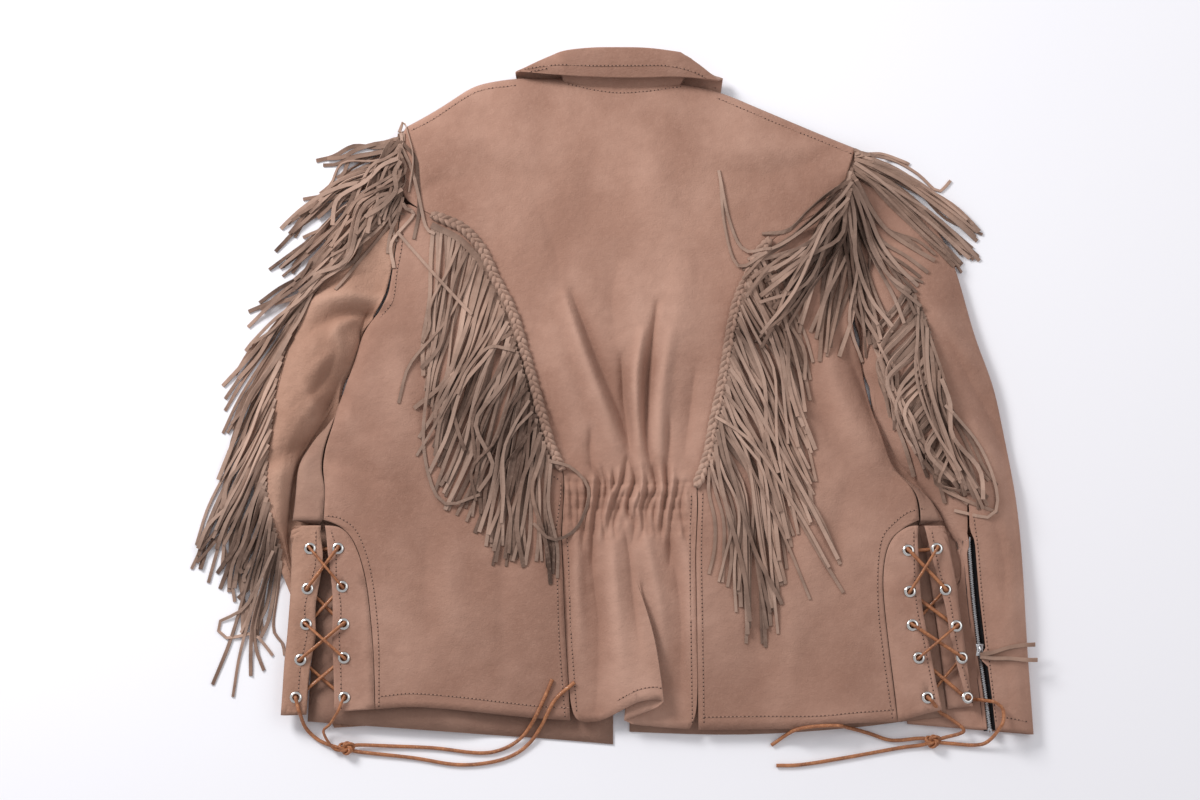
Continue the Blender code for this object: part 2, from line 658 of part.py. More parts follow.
# ---------------------------------------------------------------- collar
# stations from the left front point over the back of the neck to the right one.  Columns:
# roll line, free edge, neck edge of the stand, upper edge of the stand, each (x, y, z)
collar = (
    ((8, 226, 0.3), (-40, 178, 0.3), (5, 209, 4.3), (7, 222, 2.6)),
    ((4, 262, 0.3), (-64, 226, 0.3), (-11, 253, 4.3), (2, 259, 2.6)),
    ((-20, 308, 0.3), (-94, 296, 0.3), (-35, 299, 4.3), (-22, 305, 2.6)),
    ((-46, 348, 0.8), (-101, 348, 0.3), (-50, 334, 4.6), (-44, 344, 3.4)),
    ((-62, 362, 12.0), (-103, 351, 10.0), (-46, 345.5, 9.0), (-59, 358, 12.0)),
    ((-60, 364, 30.0), (-97, 348, 24.0), (-46, 345.4, 13.8), (-57, 360, 27.5)),
    ((-50, 366, 39.0), (-52, 341, 28.5), (-45, 343.4, 15.8), (-49, 362.5, 35.5)),
    ((-20, 369, 40.0), (-20, 339, 28.5), (-20, 336.1, 15.6), (-20, 365.5, 36.5)),
    ((9, 369, 40.0), (9, 338, 28.5), (9, 332.2, 15.6), (9, 365.5, 36.5)),
    ((42, 369, 40.0), (42, 338, 28.5), (42, 334.1, 15.6), (42, 365.5, 36.5)),
    ((76, 364, 38.5), (72, 340, 28.5), (70, 338.9, 15.8), (74, 360.5, 35.0)),
    ((88, 360, 29.0), (116, 337, 23.0), (71, 341.6, 13.8), (84, 355.5, 26.5)),
    ((88, 356, 12.0), (122, 343, 10.0), (71, 342, 9.0), (85, 352, 12.0)),
    ((72, 342, 0.8), (121, 337, 0.3), (71, 328, 4.6), (69, 338, 3.4)),
    ((44, 304, 0.3), (112, 276, 0.3), (54, 294, 4.3), (45, 300, 2.6)),
    ((20, 262, 0.3), (86, 222, 0.3), (32, 253, 4.3), (21, 258, 2.6)),
    ((14, 226, 0.3), (62, 174, 0.3), (18, 209, 4.3), (15, 222, 2.6)),
)


# ---------------------------------------------------------------- lacing
def lacePanel(name, side, frontPanel, mat, holes):
    """Half of a laced vent; its eyelet holes are cut by cylinders."""
    arch = archLeft if side < 0 else archRight
    if side < 0:
        slit = slitLeftFront if frontPanel else slitLeftBack
    else:
        slit = slitRightFront if frontPanel else slitRightBack
    rows = []
    for y in (-144, -149, -155, -165, -175, -205, -222, -240, -260, -280, -310, -341):
        near = unwrap(side, across(slit, y), y)
        if frontPanel:
            tuck = smooth(-138, -170, y)
            # the arch's hidden half runs from the top of the slit round the side fold
            far = near + (-quarterTurn(side, y) - laceWrap + seamGap - near) * tuck ** 0.35
        else:
            far = unwrap(side, across(arch, y) - side * -seamGap, y)
        columns = 8 if frontPanel else 4
        rows.append([wrap(side, near + (far - near) * k / columns, y)
                     for k in range(columns + 1)])
    panel = sheet(name, toHem(rows), mat)
    for number, spot in enumerate(holes):
        bpy.ops.mesh.primitive_cylinder_add(vertices=12, radius=(eyeletBarrel / 2 + 0.4) * MM,
                                            depth=14 * MM)
        cutter = bpy.context.object
        cutter.name = f"hole_{name}_{number + 1}"
        cutter.matrix_world = spot
        cutter.hide_render = True
        cutter.display_type = "WIRE"
        for home in cutter.users_collection:
            home.objects.unlink(cutter)
        cutters.objects.link(cutter)
        cut = panel.modifiers.new(f"Hole {number + 1}", "BOOLEAN")
        cut.object = cutter
    return panel


def eyeletPlace(side, x, y):
    """Where an eyelet sits: its matrix, with Z along the panel's outward normal."""
    s = unwrap(side, x, y)
    middle = Vector(wrap(side, s, y))
    beside = Vector(wrap(side, s - 2, y)) - Vector(wrap(side, s + 2, y))
    down = Vector(wrap(side, s, y - 2)) - Vector(wrap(side, s, y + 2))
    normal = beside.cross(down).normalized()
    if normal.z < 0:
        normal = -normal
    turn = normal.to_track_quat("Z", "Y").to_matrix().to_4x4()
    turn.translation = middle * MM
    return turn


def eyelet(name, place, mat):
    """A rolled flange with its barrel through the panel, turned by a Screw."""
    outer, hole, barrel = eyeletOuter / 2, eyeletHole / 2, eyeletBarrel / 2
    profile = ((hole, 1.3), (hole + 1.1, 1.9), (outer, 1.0), (outer, 0.35),
               (barrel, 0.35), (barrel, -suede - 0.5), (hole, -suede - 0.5))
    mesh = bpy.data.meshes.new(name)
    mesh.from_pydata([(r * MM, 0, z * MM) for r, z in profile], [],
                     [])
    edit = bmesh.new()
    edit.from_mesh(mesh)
    ring = list(edit.verts)
    for a, b in zip(ring, ring[1:] + ring[:1]):
        edit.edges.new((a, b))
    edit.to_mesh(mesh)
    edit.free()
    obj = addObject(name, mesh, mat)
    turn = obj.modifiers.new("Turn", "SCREW")
    turn.steps = turn.render_steps = eyeletSteps
    turn.use_merge_vertices = True
    turn.merge_threshold = 0.00005
    turn.use_smooth_shade = False
    obj.matrix_world = place
    return obj


def laid(route, tree, steps, spread=4.5):
    """A lace's route of (x, y, clearance) rows, smoothed and laid on what is beneath."""
    found = []
    for x, y, lift in rounded(route, steps):
        found.append(Vector((x, y, restOn(tree, x, y, spread) + laceSize / 2 + lift)))
    return found


def laceRoute(side, spots, tree):
    """One lace: knot, up through the eyelets in crosses, over the top bar and back down."""
    def at(panel, row, lift):
        place = spots[(side, panel, row)]
        return (place @ Vector((0, 0, lift * MM))) / MM

    def through(panel, row, downward, toward):
        """Three points through an eyelet."""
        steps = (4.2, 0.0, -4.4) if downward else (-4.4, 0.0, 4.2)
        return [at(panel, row, lift) for lift in steps]

    def cross(a, b, lift):
        """A middle point between two eyelets, lift above (or below) the panels."""
        middle = (at(*a, 0) + at(*b, 0)) / 2
        return [Vector((middle.x, middle.y, middle.z + lift))]

    def half(first, second, over, under):
        """From row 1 down to row 5, starting on panel `first`."""
        route = through(first, 1, False, second)
        route += cross((first, 1), (second, 2), over)
        route += through(second, 2, True, first)
        route += cross((second, 2), (first, 3), under)
        route += through(first, 3, False, second)
        route += cross((first, 3), (second, 4), over)
        route += through(second, 4, True, first)
        route += cross((second, 4), (first, 5), under)
        route += through(first, 5, False, second)
        return route

    def lead(panel):
        """From the last eyelet out over its flange and down to the knot."""
        table = leads["left" if side < 0 else "right"][panel]
        start = at(panel, 5, 4.2)
        away = Vector((table[0][0] - start.x, table[0][1] - start.y, 0)).normalized()
        first = start + away * 8
        first.z = restOn(tree, first.x, first.y, 4.5) + laceSize / 2 + 2.2
        return [first] + laid(table, tree, 3, spread=6.5)

    fromFront = half("front", "back", 8.2, -4.6)
    fromBack = half("back", "front", 4.0, -8.6)
    bar = cross(("front", 1), ("back", 1), -5.0)
    endFront = fromFront + lead("front")
    endBack = fromBack + lead("back")
    return list(reversed(endFront)) + bar + endBack


# ---------------------------------------------------------------- braids, fringes, zip
def braid(name, side, line, tree, mat):
    route = rounded([(x, y, 0) for y, x in line], 2)
    rows = []
    for a, b, c in zip([route[0]] + route, route, route[1:] + [route[-1]]):
        run = (c - a).normalized()
        beside = Vector((-run.y, run.x, 0)) * braidWidth / 2
        rows.append([(b + beside * k)[:2] for k in (-1, 0, 1)])
    return layer(name, rows, tree, mat, braidHeight, spread=3.0, gap=1.2)


def fringe(name, hung, reach, tree, mat):
    """The plain solid that a fringe fills, from its seam to the reach of its ends."""
    columns, down = 9, 6
    top = along([(x, y, 0) for x, y in hung], columns + 1)
    ends = along([(x, y, 0) for x, y in reach], columns + 1)
    rows = [[a.lerp(b, k / down)[:2] for a, b in zip(top, ends)] for k in range(down + 1)]
    return layer(name, rows, tree, mat, fringeDepth, spread=14.0)


def zipStrip(name, stations, half, drop, wall, mat):
    """A strip along the opening of the right sleeve's back-arm seam."""
    rows = []
    for station in stations:
        ox, oy, ix, iy, puff, seam, opened = station
        wide = math.hypot(ox - ix, oy - iy)
        row = []
        for k in (-1, 0, 1):
            share = seam + k * half / wide
            low = min(sleeveTop(1, station, seam - zipGap / wide),
                      sleeveTop(1, station, seam + zipGap / wide))
            row.append((ix + (ox - ix) * share, iy + (oy - iy) * share, low - drop))
        rows.append(row)
    return sheet(name, rows, mat, wall)


def zipSlider(station, mat):
    """The slider's body, a bevelled block on the teeth."""
    ox, oy, ix, iy, puff, seam, opened = station
    wide = math.hypot(ox - ix, oy - iy)
    low = min(sleeveTop(1, station, seam - zipGap / wide),
              sleeveTop(1, station, seam + zipGap / wide))
    bpy.ops.mesh.primitive_cube_add(size=1)
    slider = bpy.context.object
    slider.name = "zip_slider"
    slider.dimensions = (sliderWide * MM, sliderLong * MM, sliderHigh * MM)
    bpy.ops.object.transform_apply(scale=True)
    slider.location = Vector((ix + (ox - ix) * seam, iy + (oy - iy) * seam,
                              low + 1.6 + sliderHigh / 2)) * MM
    slider.data.materials.append(mat)
    edges = slider.modifiers.new("Edges", "BEVEL")
    edges.width = 1.2 * MM
    edges.segments = 2
    for home in slider.users_collection:
        home.objects.unlink(slider)
    jacket.objects.link(slider)


def zipThong(tree, mat):
    """A doubled strip of suede through the slider, lying outwards across the cuff."""
    rows = []
    under = 0.0
    for x, y, drop in thong:
        here = restOn(tree, x, y, 9)
        under = here if here > cuffEdge * 1.5 else under
        rows.append([(x, y + k, under + layerGap + thongWall - drop) for k in (4.5, -4.5)])
    return sheet("zip_thong", rows, mat, thongWall)


# ---------------------------------------------------------------- the jacket
def build():
    suedeTan = material("suede_tan", tan, 0.9)
    suedeLight = material("suede_light", tanLight, 0.9)
    suedeFringe = material("suede_fringe", fringeTan, 0.9)
    laceRust = material("lace_leather", rust, 0.6)
    eyeletMetal = material("eyelet_nickel", nickel, 0.25, 1.0)
    tapeBlack = material("zip_tape_fabric", black, 0.9)
    teethMetal = material("zip_metal", nickel, 0.3, 1.0)

    centreBack(suedeTan)
    for side, word in ((-1, "left"), (1, "right")):
        sideBack(f"side_back_{word}", side, suedeTan)
        front(f"front_{word}", side, suedeLight)
        rows = sleeveLeft if side < 0 else sleeveRight
        sleevePiece(f"sleeve_{word}_top", side, rows, True, suedeTan)
        sleevePiece(f"sleeve_{word}_under", side, rows, False, suedeTan)
    stand = [[Vector(neck).lerp(Vector(upper), t) for t in (0, 0.5, 1)]
             for roll, edge, neck, upper in collar]
    sheet("collar_stand", stand, suedeTan, facing=-1.0)
    fall = []
    for roll, edge, neck, upper in collar:
        roll, edge = Vector(roll), Vector(edge)
        lift = Vector((0, 0, 1.5 if roll.z > 10 else 0))
        fall.append([roll, roll.lerp(edge, 0.35) + lift, roll.lerp(edge, 0.7) + lift, edge])
    sheet("collar_fall", fall, suedeTan, facing=-1.0)

    places = {}
    for word, panel, spots in eyelets:
        side = -1 if word == "left" else 1
        for row, (x, y) in enumerate(spots, 1):
            places[(side, panel, row)] = eyeletPlace(side, x, y)
    for word, panel, spots in eyelets:
        side = -1 if word == "left" else 1
        holes = [places[(side, panel, row)] for row in range(1, 6)]
        lacePanel(f"lace_panel_{word}_{panel}", side, panel == "front", suedeTan, holes)
        for row in range(1, 6):
            eyelet(f"eyelet_{word}_{panel}_{row}", places[(side, panel, row)], eyeletMetal)

    opening = [row for row in sleeveRight if row[6]]
    zipStrip("zip_tape", opening, zipGap - 1.8, tapeDrop, zipTapeWall, tapeBlack)
    zipStrip("zip_teeth", opening, zipTeethWidth / 2, tapeDrop - zipTeethHeight - 0.3,
             zipTeethHeight, teethMetal)

    cloth = [obj.name for obj in jacket.objects if not obj.name.startswith("eyelet")]
    tree = solidTree(cloth)
    braid("braid_left", -1, [row for row in backSeamLeft if -90 < row[0] < 190], tree,
          suedeFringe)
    braid("braid_right", 1, [row for row in backSeamRight if -106 < row[0] < 170], tree,
          suedeFringe)
    tree = solidTree(cloth + ["braid_left", "braid_right"])
    for name, (hung, reach) in fringes.items():
        if "shoulder" not in name:
            fringe(name, hung, reach, tree, suedeFringe)
    tree = solidTree(cloth + ["braid_left", "braid_right"]
                     + [name for name in fringes if "shoulder" not in name])
    for name, (hung, reach) in fringes.items():
        if "shoulder" in name:
            fringe(name, hung, reach, tree, suedeFringe)

    tree = solidTree(cloth)
    zipSlider(sleeveRight[11], teethMetal)
    zipThong(tree, suedeFringe)
    for word, (x, y) in knots.items():
        bpy.ops.mesh.primitive_uv_sphere_add(segments=12, ring_count=8,
                                             radius=knotSize / 2 * MM)
        knot = bpy.context.object
        knot.name = f"lace_knot_{word}"
        knot.scale = (1.0, 0.8, 0.8)
        knot.location = Vector((x, y, restOn(tree, x, y, 6) + knotSize * 0.4 + 0.4)) * MM
        knot.data.materials.append(laceRust)
        for home in knot.users_collection:
            home.objects.unlink(knot)
        jacket.objects.link(knot)
    for word, side in (("left", -1), ("right", 1)):
        tube(f"lace_{word}", laceRoute(side, places, tree), laceSize, laceRust)
    for name, route in tails.items():
        tube(name, laid(route, tree, 3), laceSize, laceRust)


for obj in list(bpy.data.objects):
    bpy.data.objects.remove(obj, do_unlink=True)
jacket = bpy.data.collections.new("fringed_jacket")
cutters = bpy.data.collections.new("cutters")
bpy.context.scene.collection.children.link(jacket)
bpy.context.scene.collection.children.link(cutters)
cutters.hide_render = True
build()
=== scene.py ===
import math
import random

import bmesh
import bpy
import numpy as np
from mathutils import Matrix, Vector, noise
from mathutils.bvhtree import BVHTree


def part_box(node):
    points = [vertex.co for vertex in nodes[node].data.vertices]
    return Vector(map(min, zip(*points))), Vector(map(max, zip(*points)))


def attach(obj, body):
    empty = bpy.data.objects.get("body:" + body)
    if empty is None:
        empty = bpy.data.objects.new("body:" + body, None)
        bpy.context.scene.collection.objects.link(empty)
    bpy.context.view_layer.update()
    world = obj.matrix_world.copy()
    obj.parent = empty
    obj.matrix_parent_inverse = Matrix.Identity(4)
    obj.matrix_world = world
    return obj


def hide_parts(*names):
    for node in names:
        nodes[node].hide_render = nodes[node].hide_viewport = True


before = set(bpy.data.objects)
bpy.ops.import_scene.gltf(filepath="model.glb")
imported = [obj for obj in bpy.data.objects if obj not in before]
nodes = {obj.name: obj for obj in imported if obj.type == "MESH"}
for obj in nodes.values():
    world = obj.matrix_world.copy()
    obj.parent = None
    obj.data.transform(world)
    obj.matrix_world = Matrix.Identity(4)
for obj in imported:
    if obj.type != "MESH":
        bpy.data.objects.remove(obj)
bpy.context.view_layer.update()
mm = 0.001


# ---- camera, floor and light
camera = {"lens": 85, "sensor": 36, "tilt": 80, "aim": (-0.0106, -0.0072, 0.0), "width": 1.272,
          "clip": (0.05, 50)}


def intoScene(thing):
    bpy.context.scene.collection.objects.link(thing)
    return thing


def placeCamera():
    lens = bpy.data.cameras.new("camera")
    lens.lens, lens.sensor_width = camera["lens"], camera["sensor"]
    lens.clip_start, lens.clip_end = camera["clip"]
    seat = intoScene(bpy.data.objects.new("camera", lens))
    tilt = math.radians(camera["tilt"])
    away = Vector((0, -math.cos(tilt), math.sin(tilt)))
    seat.location = Vector(camera["aim"]) + away * (camera["width"] * camera["lens"] / camera["sensor"])
    seat.rotation_euler = (-away).to_track_quat("-Z", "Y").to_euler()
    bpy.context.scene.camera = seat


light = {"sky": (0.98, 0.975, 1.0), "skyPower": 0.50,
         "floor": {"colour": (0.93, 0.922, 0.96), "size": 14, "level": -0.0004, "rough": 0.75},
         "lamps": ((-1.5, 1.3, 1.45, 0.8, 50), (1.6, 0.4, 1.9, 1.6, 10))}  # x, y, z, size, watts


def lightRoom():
    world = bpy.data.worlds.new("studio")
    bpy.context.scene.world = world
    world.use_nodes = True
    sky = world.node_tree.nodes["Background"]
    setInputs(sky, {"Color": (*light["sky"], 1), "Strength": light["skyPower"]})
    bpy.context.scene.view_settings.view_transform = "Standard"
    for number, (x, y, z, size, power) in enumerate(light["lamps"]):
        lamp = bpy.data.lights.new(f"lamp{number}", "AREA")
        lamp.size, lamp.energy = size, power
        seat = intoScene(bpy.data.objects.new(f"lamp{number}", lamp))
        seat.location = (x, y, z)
        seat.rotation_euler = (-seat.location).to_track_quat("-Z", "Y").to_euler()
    ground = light["floor"]
    bpy.ops.mesh.primitive_plane_add(size=ground["size"], location=(0, 0, ground["level"]))
    floor = bpy.context.object
    floor.name = "floor"
    paper, shader, _ = startMaterial("studio_paper")
    setInputs(shader, {"Base Color": (*ground["colour"], 1), "Roughness": ground["rough"]})
    floor.data.materials.append(paper)


# ---- materials
def startMaterial(name):
    made = bpy.data.materials.new(name)
    made.use_nodes = True
    return made, made.node_tree.nodes["Principled BSDF"], made.node_tree


def setInputs(node, values):
    for socket, value in values.items():
        node.inputs[socket].default_value = value


class Pattern:
    # the few nodes that every finish here is mixed from
    def __init__(self, tree):
        self.tree = tree
        self.place = tree.nodes.new("ShaderNodeTexCoord").outputs["Object"]

    def join(self, a, b):
        self.tree.links.new(a, b)

    def feed(self, socket, value):
        # gives a socket a colour, a number or another node's output
        if isinstance(value, tuple):
            socket.default_value = (*value, 1)
        elif isinstance(value, (int, float)):
            socket.default_value = value
        else:
            self.join(value, socket)

    def cloud(self, scale, detail=3.0, rough=0.55, low=0.3, high=0.7):
        node = self.tree.nodes.new("ShaderNodeTexNoise")
        setInputs(node, {"Scale": scale, "Detail": detail, "Roughness": rough})
        self.join(self.place, node.inputs["Vector"])
        return self.span(node.outputs["Fac"], low, high)

    def span(self, value, low, high, a=0.0, b=1.0):
        node = self.tree.nodes.new("ShaderNodeMapRange")
        setInputs(node, {"From Min": low, "From Max": high, "To Min": a, "To Max": b})
        self.join(value, node.inputs["Value"])
        return node.outputs["Result"]

    def times(self, a, b):
        node = self.tree.nodes.new("ShaderNodeMath")
        node.operation = "MULTIPLY"
        self.feed(node.inputs[0], a)
        self.feed(node.inputs[1], b)
        return node.outputs[0]

    def blend(self, share, a, b):
        node = self.tree.nodes.new("ShaderNodeMix")
        node.data_type = "RGBA"
        for number, value in ((0, share), (6, a), (7, b)):
            self.feed(node.inputs[number], value)
        return node.outputs[2]

    def fact(self, name):
        node = self.tree.nodes.new("ShaderNodeAttribute")
        node.attribute_name = name
        return node.outputs["Fac"]

    def bump(self, height, distance, strength, under=None):
        node = self.tree.nodes.new("ShaderNodeBump")
        setInputs(node, {"Distance": distance, "Strength": strength})
        self.join(height, node.inputs["Height"])
        if under:
            self.join(under, node.inputs["Normal"])
        return node.outputs["Normal"]


suedeTones = {
    "back": ((0.300, 0.158, 0.112), (0.422, 0.237, 0.174), (0.57, 0.348, 0.268)),
    # the side backs' copy is darker than the back's: painted shade on the body's sides
    "side": ((0.275, 0.145, 0.103), (0.385, 0.213, 0.155), (0.52, 0.312, 0.238)),
    # the fronts' copy is darker still: painted shade where they lie beneath the back
    "front": ((0.25, 0.138, 0.10), (0.345, 0.198, 0.147), (0.45, 0.28, 0.21)),
    "sleeve": ((0.31, 0.164, 0.111), (0.43, 0.243, 0.173), (0.57, 0.352, 0.262)),
    "braid": ((0.23, 0.135, 0.10), (0.44, 0.275, 0.208), (0.60, 0.41, 0.32)),
    # the fringe's very dark tone is painted shade between and under the strips
    "fringe": ((0.055, 0.030, 0.022), (0.375, 0.232, 0.172), (0.62, 0.425, 0.335)),
}


# clouds laid over the dark tone in turn: scale, detail, roughness, low, high, share, tone
suedeClouds = (
    (6.5, 3, 0.55, 0.32, 0.68, 1, "middle"),
    (11, 4, 0.55, 0.42, 0.75, 0.55, "bright"),
    (60, 5, 0.55, 0.45, 0.72, 0.30, "dark"),
    (240, 4, 0.7, 0.5, 0.75, 0.22, "bright"),
)
# shares of the dark and bright tones that paint shade into the hollows and highlight onto the ridges, then
# each bump's cloud, depth and strength
suedeForm = {"hollowShade": 0.55, "ridge": 0.5, "coarse": ((95, 4, 0.6), 0.0011, 0.42),
             "nap": ((620, 4, 0.7), 0.0005, 0.45)}
suedeShine = {"Roughness": 0.88, "Specular IOR Level": 0.22, "Sheen Weight": 0.14, "Sheen Roughness": 0.45,
              "Sheen Tint": (0.95, 0.82, 0.74, 1)}


def suede(name, grain=1.0, strips=False):
    # brushed nap: cloudy tone, fine grain, painted highlight on the ridges and painted shade in the hollows
    made, shader, tree = startMaterial("suede_" + name)
    tones = dict(zip(("dark", "middle", "bright"), suedeTones[name]))
    make = Pattern(tree)
    tone = tones["dark"]
    for scale, detail, rough, low, high, share, other in suedeClouds:
        cloud = make.cloud(scale, detail, rough, low, high)
        tone = make.blend(make.times(cloud, share) if share < 1 else cloud, tone, tones[other])
    # painted shade and highlight: read from the cloth's stored lift, or from the strips' tone set by their
    # laying order
    shadeAndHighlight = make.fact("tone" if strips else "shadeAndHighlight")
    tone = make.blend(make.span(shadeAndHighlight, 0.5, 0.0, 0.0, suedeForm["hollowShade"]), tone, tones["dark"])
    tone = make.blend(make.span(shadeAndHighlight, 0.5, 1.0, 0.0, suedeForm["ridge"]), tone, tones["bright"])
    make.join(tone, shader.inputs["Base Color"])
    setInputs(shader, suedeShine)
    surface = None
    for cloud, deep, power in (suedeForm["coarse"], suedeForm["nap"]):
        surface = make.bump(make.cloud(*cloud), deep, power * grain, surface)
    make.join(surface, shader.inputs["Normal"])
    return made


laceTones = {"dark": (0.23, 0.075, 0.028), "middle": (0.44, 0.165, 0.065), "bright": (0.62, 0.28, 0.12)}


def laceLeather():
    made, shader, tree = startMaterial("lace_cognac")
    make = Pattern(tree)
    tone = make.blend(make.cloud(70, 4), laceTones["dark"], laceTones["middle"])
    tone = make.blend(make.times(make.cloud(420, 3, low=0.5, high=0.7), 0.6), tone, laceTones["bright"])
    make.join(tone, shader.inputs["Base Color"])
    setInputs(shader, {"Roughness": 0.5, "Coat Weight": 0.12})
    make.join(make.bump(make.cloud(500, 4, 0.7), 0.0004, 0.6), shader.inputs["Normal"])
    return made


def metal(name, colour, rough, wear):
    made, shader, tree = startMaterial(name)
    make = Pattern(tree)
    tone = make.blend(make.cloud(300, 3), tuple(c * wear for c in colour), colour)
    make.join(tone, shader.inputs["Base Color"])
    shader.inputs["Metallic"].default_value = 1
    make.join(make.span(make.cloud(450, 3), 0, 1, rough * 0.7, rough * 1.5), shader.inputs["Roughness"])
    make.join(make.bump(make.cloud(800, 2), 0.0002, 0.15), shader.inputs["Normal"])
    return made


def plain(name, low, high, scale, rough):
    made, shader, tree = startMaterial(name)
    make = Pattern(tree)
    make.join(make.blend(make.cloud(scale, 3), low, high), shader.inputs["Base Color"])
    shader.inputs["Roughness"].default_value = rough
    make.join(make.bump(make.cloud(scale * 1.6, 2), 0.0003, 0.5), shader.inputs["Normal"])
    return made


looks = {
    "back": suede("back"),
    "side": suede("side"),
    "front": suede("front"),
    "sleeve": suede("sleeve", 1.5),
    "braid": suede("braid", strips=True),
    "fringe": suede("fringe", 0.7, strips=True),
    "lace": laceLeather(),
    "nickel": metal("nickel_plate", (0.80, 0.79, 0.77), 0.16, 0.85),
    "zipMetal": metal("zip_silver", (0.78, 0.78, 0.80), 0.24, 0.75),
    "tape": plain("zip_woven_tape", (0.008, 0.008, 0.009), (0.03, 0.03, 0.034), 900, 0.9),
    "thread": plain("tan_thread", (0.33, 0.18, 0.13), (0.47, 0.28, 0.21), 700, 0.8),
    # painted shade for the needle holes
    "needleHoleShade": plain("needle_hole_shade", (0.035, 0.018, 0.013), (0.07, 0.036, 0.026), 500, 0.95),
}
placeCamera()
lightRoom()
print("camera, floor, light and materials ready")


# ---- tools shared by the pieces
def smoothStep(low, high, value):
    t = np.clip((value - low) / (high - low), 0, 1)
    return t * t * (3 - 2 * t)


def roundedLine(points, steps=5):
    # a smooth curve through the points, as an array
    p = np.array(points, float)
    p = np.vstack([2 * p[0] - p[1], p, 2 * p[-1] - p[-2]])
    found = []
    for a, b, c, d in zip(p, p[1:], p[2:], p[3:]):
        for k in range(steps):
            t = k / steps
            found.append(0.5 * (2 * b + (c - a) * t + (2 * a - 5 * b + 4 * c - d) * t * t
                                + (3 * b - a - 3 * c + d) * t ** 3))
    return np.array(found + [p[-2]])


def evenLine(points, step=None, count=None):
    # the same line with evenly spaced points
    p = np.array(points, float)
    run = np.concatenate([[0], np.cumsum(np.linalg.norm(np.diff(p, axis=0), axis=1))])
    count = count or max(2, int(round(run[-1] / step)) + 1)
    want = np.linspace(0, run[-1], count)
    return np.column_stack([np.interp(want, run, p[:, k]) for k in range(p.shape[1])])


def nearLine(xy, line):
    # distance of every point from a line, and the share along it of the nearest place
    best, share = np.full(len(xy), 1e9), np.zeros(len(xy))
    for k, (a, b) in enumerate(zip(line, line[1:])):
        run = b - a
        t = np.clip(((xy - a) @ run) / max(1e-12, run @ run), 0, 1)
        gap = np.linalg.norm(xy - a - t[:, None] * run, axis=1)
        near = gap < best
        best[near], share[near] = gap[near], ((k + t) / (len(line) - 1))[near]
    return best, share


def headings(line):
    # the unit direction of a line at each of its points
    run = np.gradient(line, axis=0)
    return run / np.maximum(1e-12, np.linalg.norm(run, axis=1))[:, None]


def routeLine(route, steps, **spacing):
    # an evenly spaced smooth line through a route given in mm
    return evenLine(roundedLine(np.array(route) * mm, steps), **spacing)


def levelled(heights, rounds):
    # heights along a line with their dips filled
    for _ in range(rounds):
        heights[1:-1] = np.maximum(heights[1:-1], (heights[:-2] + heights[2:]) / 2)
    return heights


def meshObject(name, points, faces, look, smooth=True):
    mesh = bpy.data.meshes.new(name)
    mesh.from_pydata([tuple(p) for p in points], [], faces)
    mesh.update()
    if smooth:
        mesh.shade_smooth()
    made = intoScene(bpy.data.objects.new(name, mesh))
    made.data.materials.append(looks[look])
    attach(made, "root")
    return made


def selectNone():
    for other in bpy.context.selected_objects:
        other.select_set(False)


def only(made):
    selectNone()
    made.select_set(True)
    bpy.context.view_layer.objects.active = made


def sweep(path, section, twist=None):
    # a section of (side, height) points carried along a path; returns points and faces
    path, section = np.array(path, float), np.array(section, float)
    turns = np.zeros(len(path)) if twist is None else twist
    rings, side = [], None
    for spot, along, turn in zip(path, headings(path), turns):
        side = np.cross(along, (0, 0, 1.0)) if side is None else side - along * (side @ along)
        side = side / max(1e-9, np.linalg.norm(side))
        high = np.cross(side, along)
        c, s = math.cos(turn), math.sin(turn)
        rings.append(spot + np.outer(section[:, 0], side * c + high * s)
                     + np.outer(section[:, 1], high * c - side * s))
    wide, tall = len(section), len(path)
    faces = [(i * wide + j, i * wide + (j + 1) % wide, (i + 1) * wide + (j + 1) % wide,
              (i + 1) * wide + j) for i in range(tall - 1) for j in range(wide)]
    faces += [tuple(reversed(range(wide))), tuple(range((tall - 1) * wide, tall * wide))]
    return np.vstack(rings), faces


def oval(wide, high, sides):
    # a rounded section, its sizes in mm
    turns = [2 * math.pi * k / sides for k in range(sides)]
    return [(wide * mm / 2 * math.cos(turn), high * mm / 2 * math.sin(turn)) for turn in turns]


def flatSection(wide, thick):
    # the section of a flat strip, its sizes in mm
    a, b = wide * mm / 2, thick * mm / 2
    return (-a, -b), (a, -b), (a, b), (-a, b)


class Heap:
    # gathers many small shapes into one mesh, with a tone stored at each point; on the braid and fringe
    # suede a tone below the middle is painted shade and above it painted light
    def __init__(self):
        self.points, self.faces, self.tones, self.count = [], [], [], 0

    def add(self, points, faces, tone=0.5):
        self.points.append(np.asarray(points))
        self.faces += [tuple(self.count + i for i in face) for face in faces]
        self.tones += [tone] * len(points)
        self.count += len(points)

    def make(self, name, look, slot, smooth=True):
        made = meshObject(name, np.vstack(self.points), self.faces, look, smooth)
        fact = made.data.attributes.new("tone", "FLOAT", "POINT")
        fact.data.foreach_set("value", self.tones)
        return made


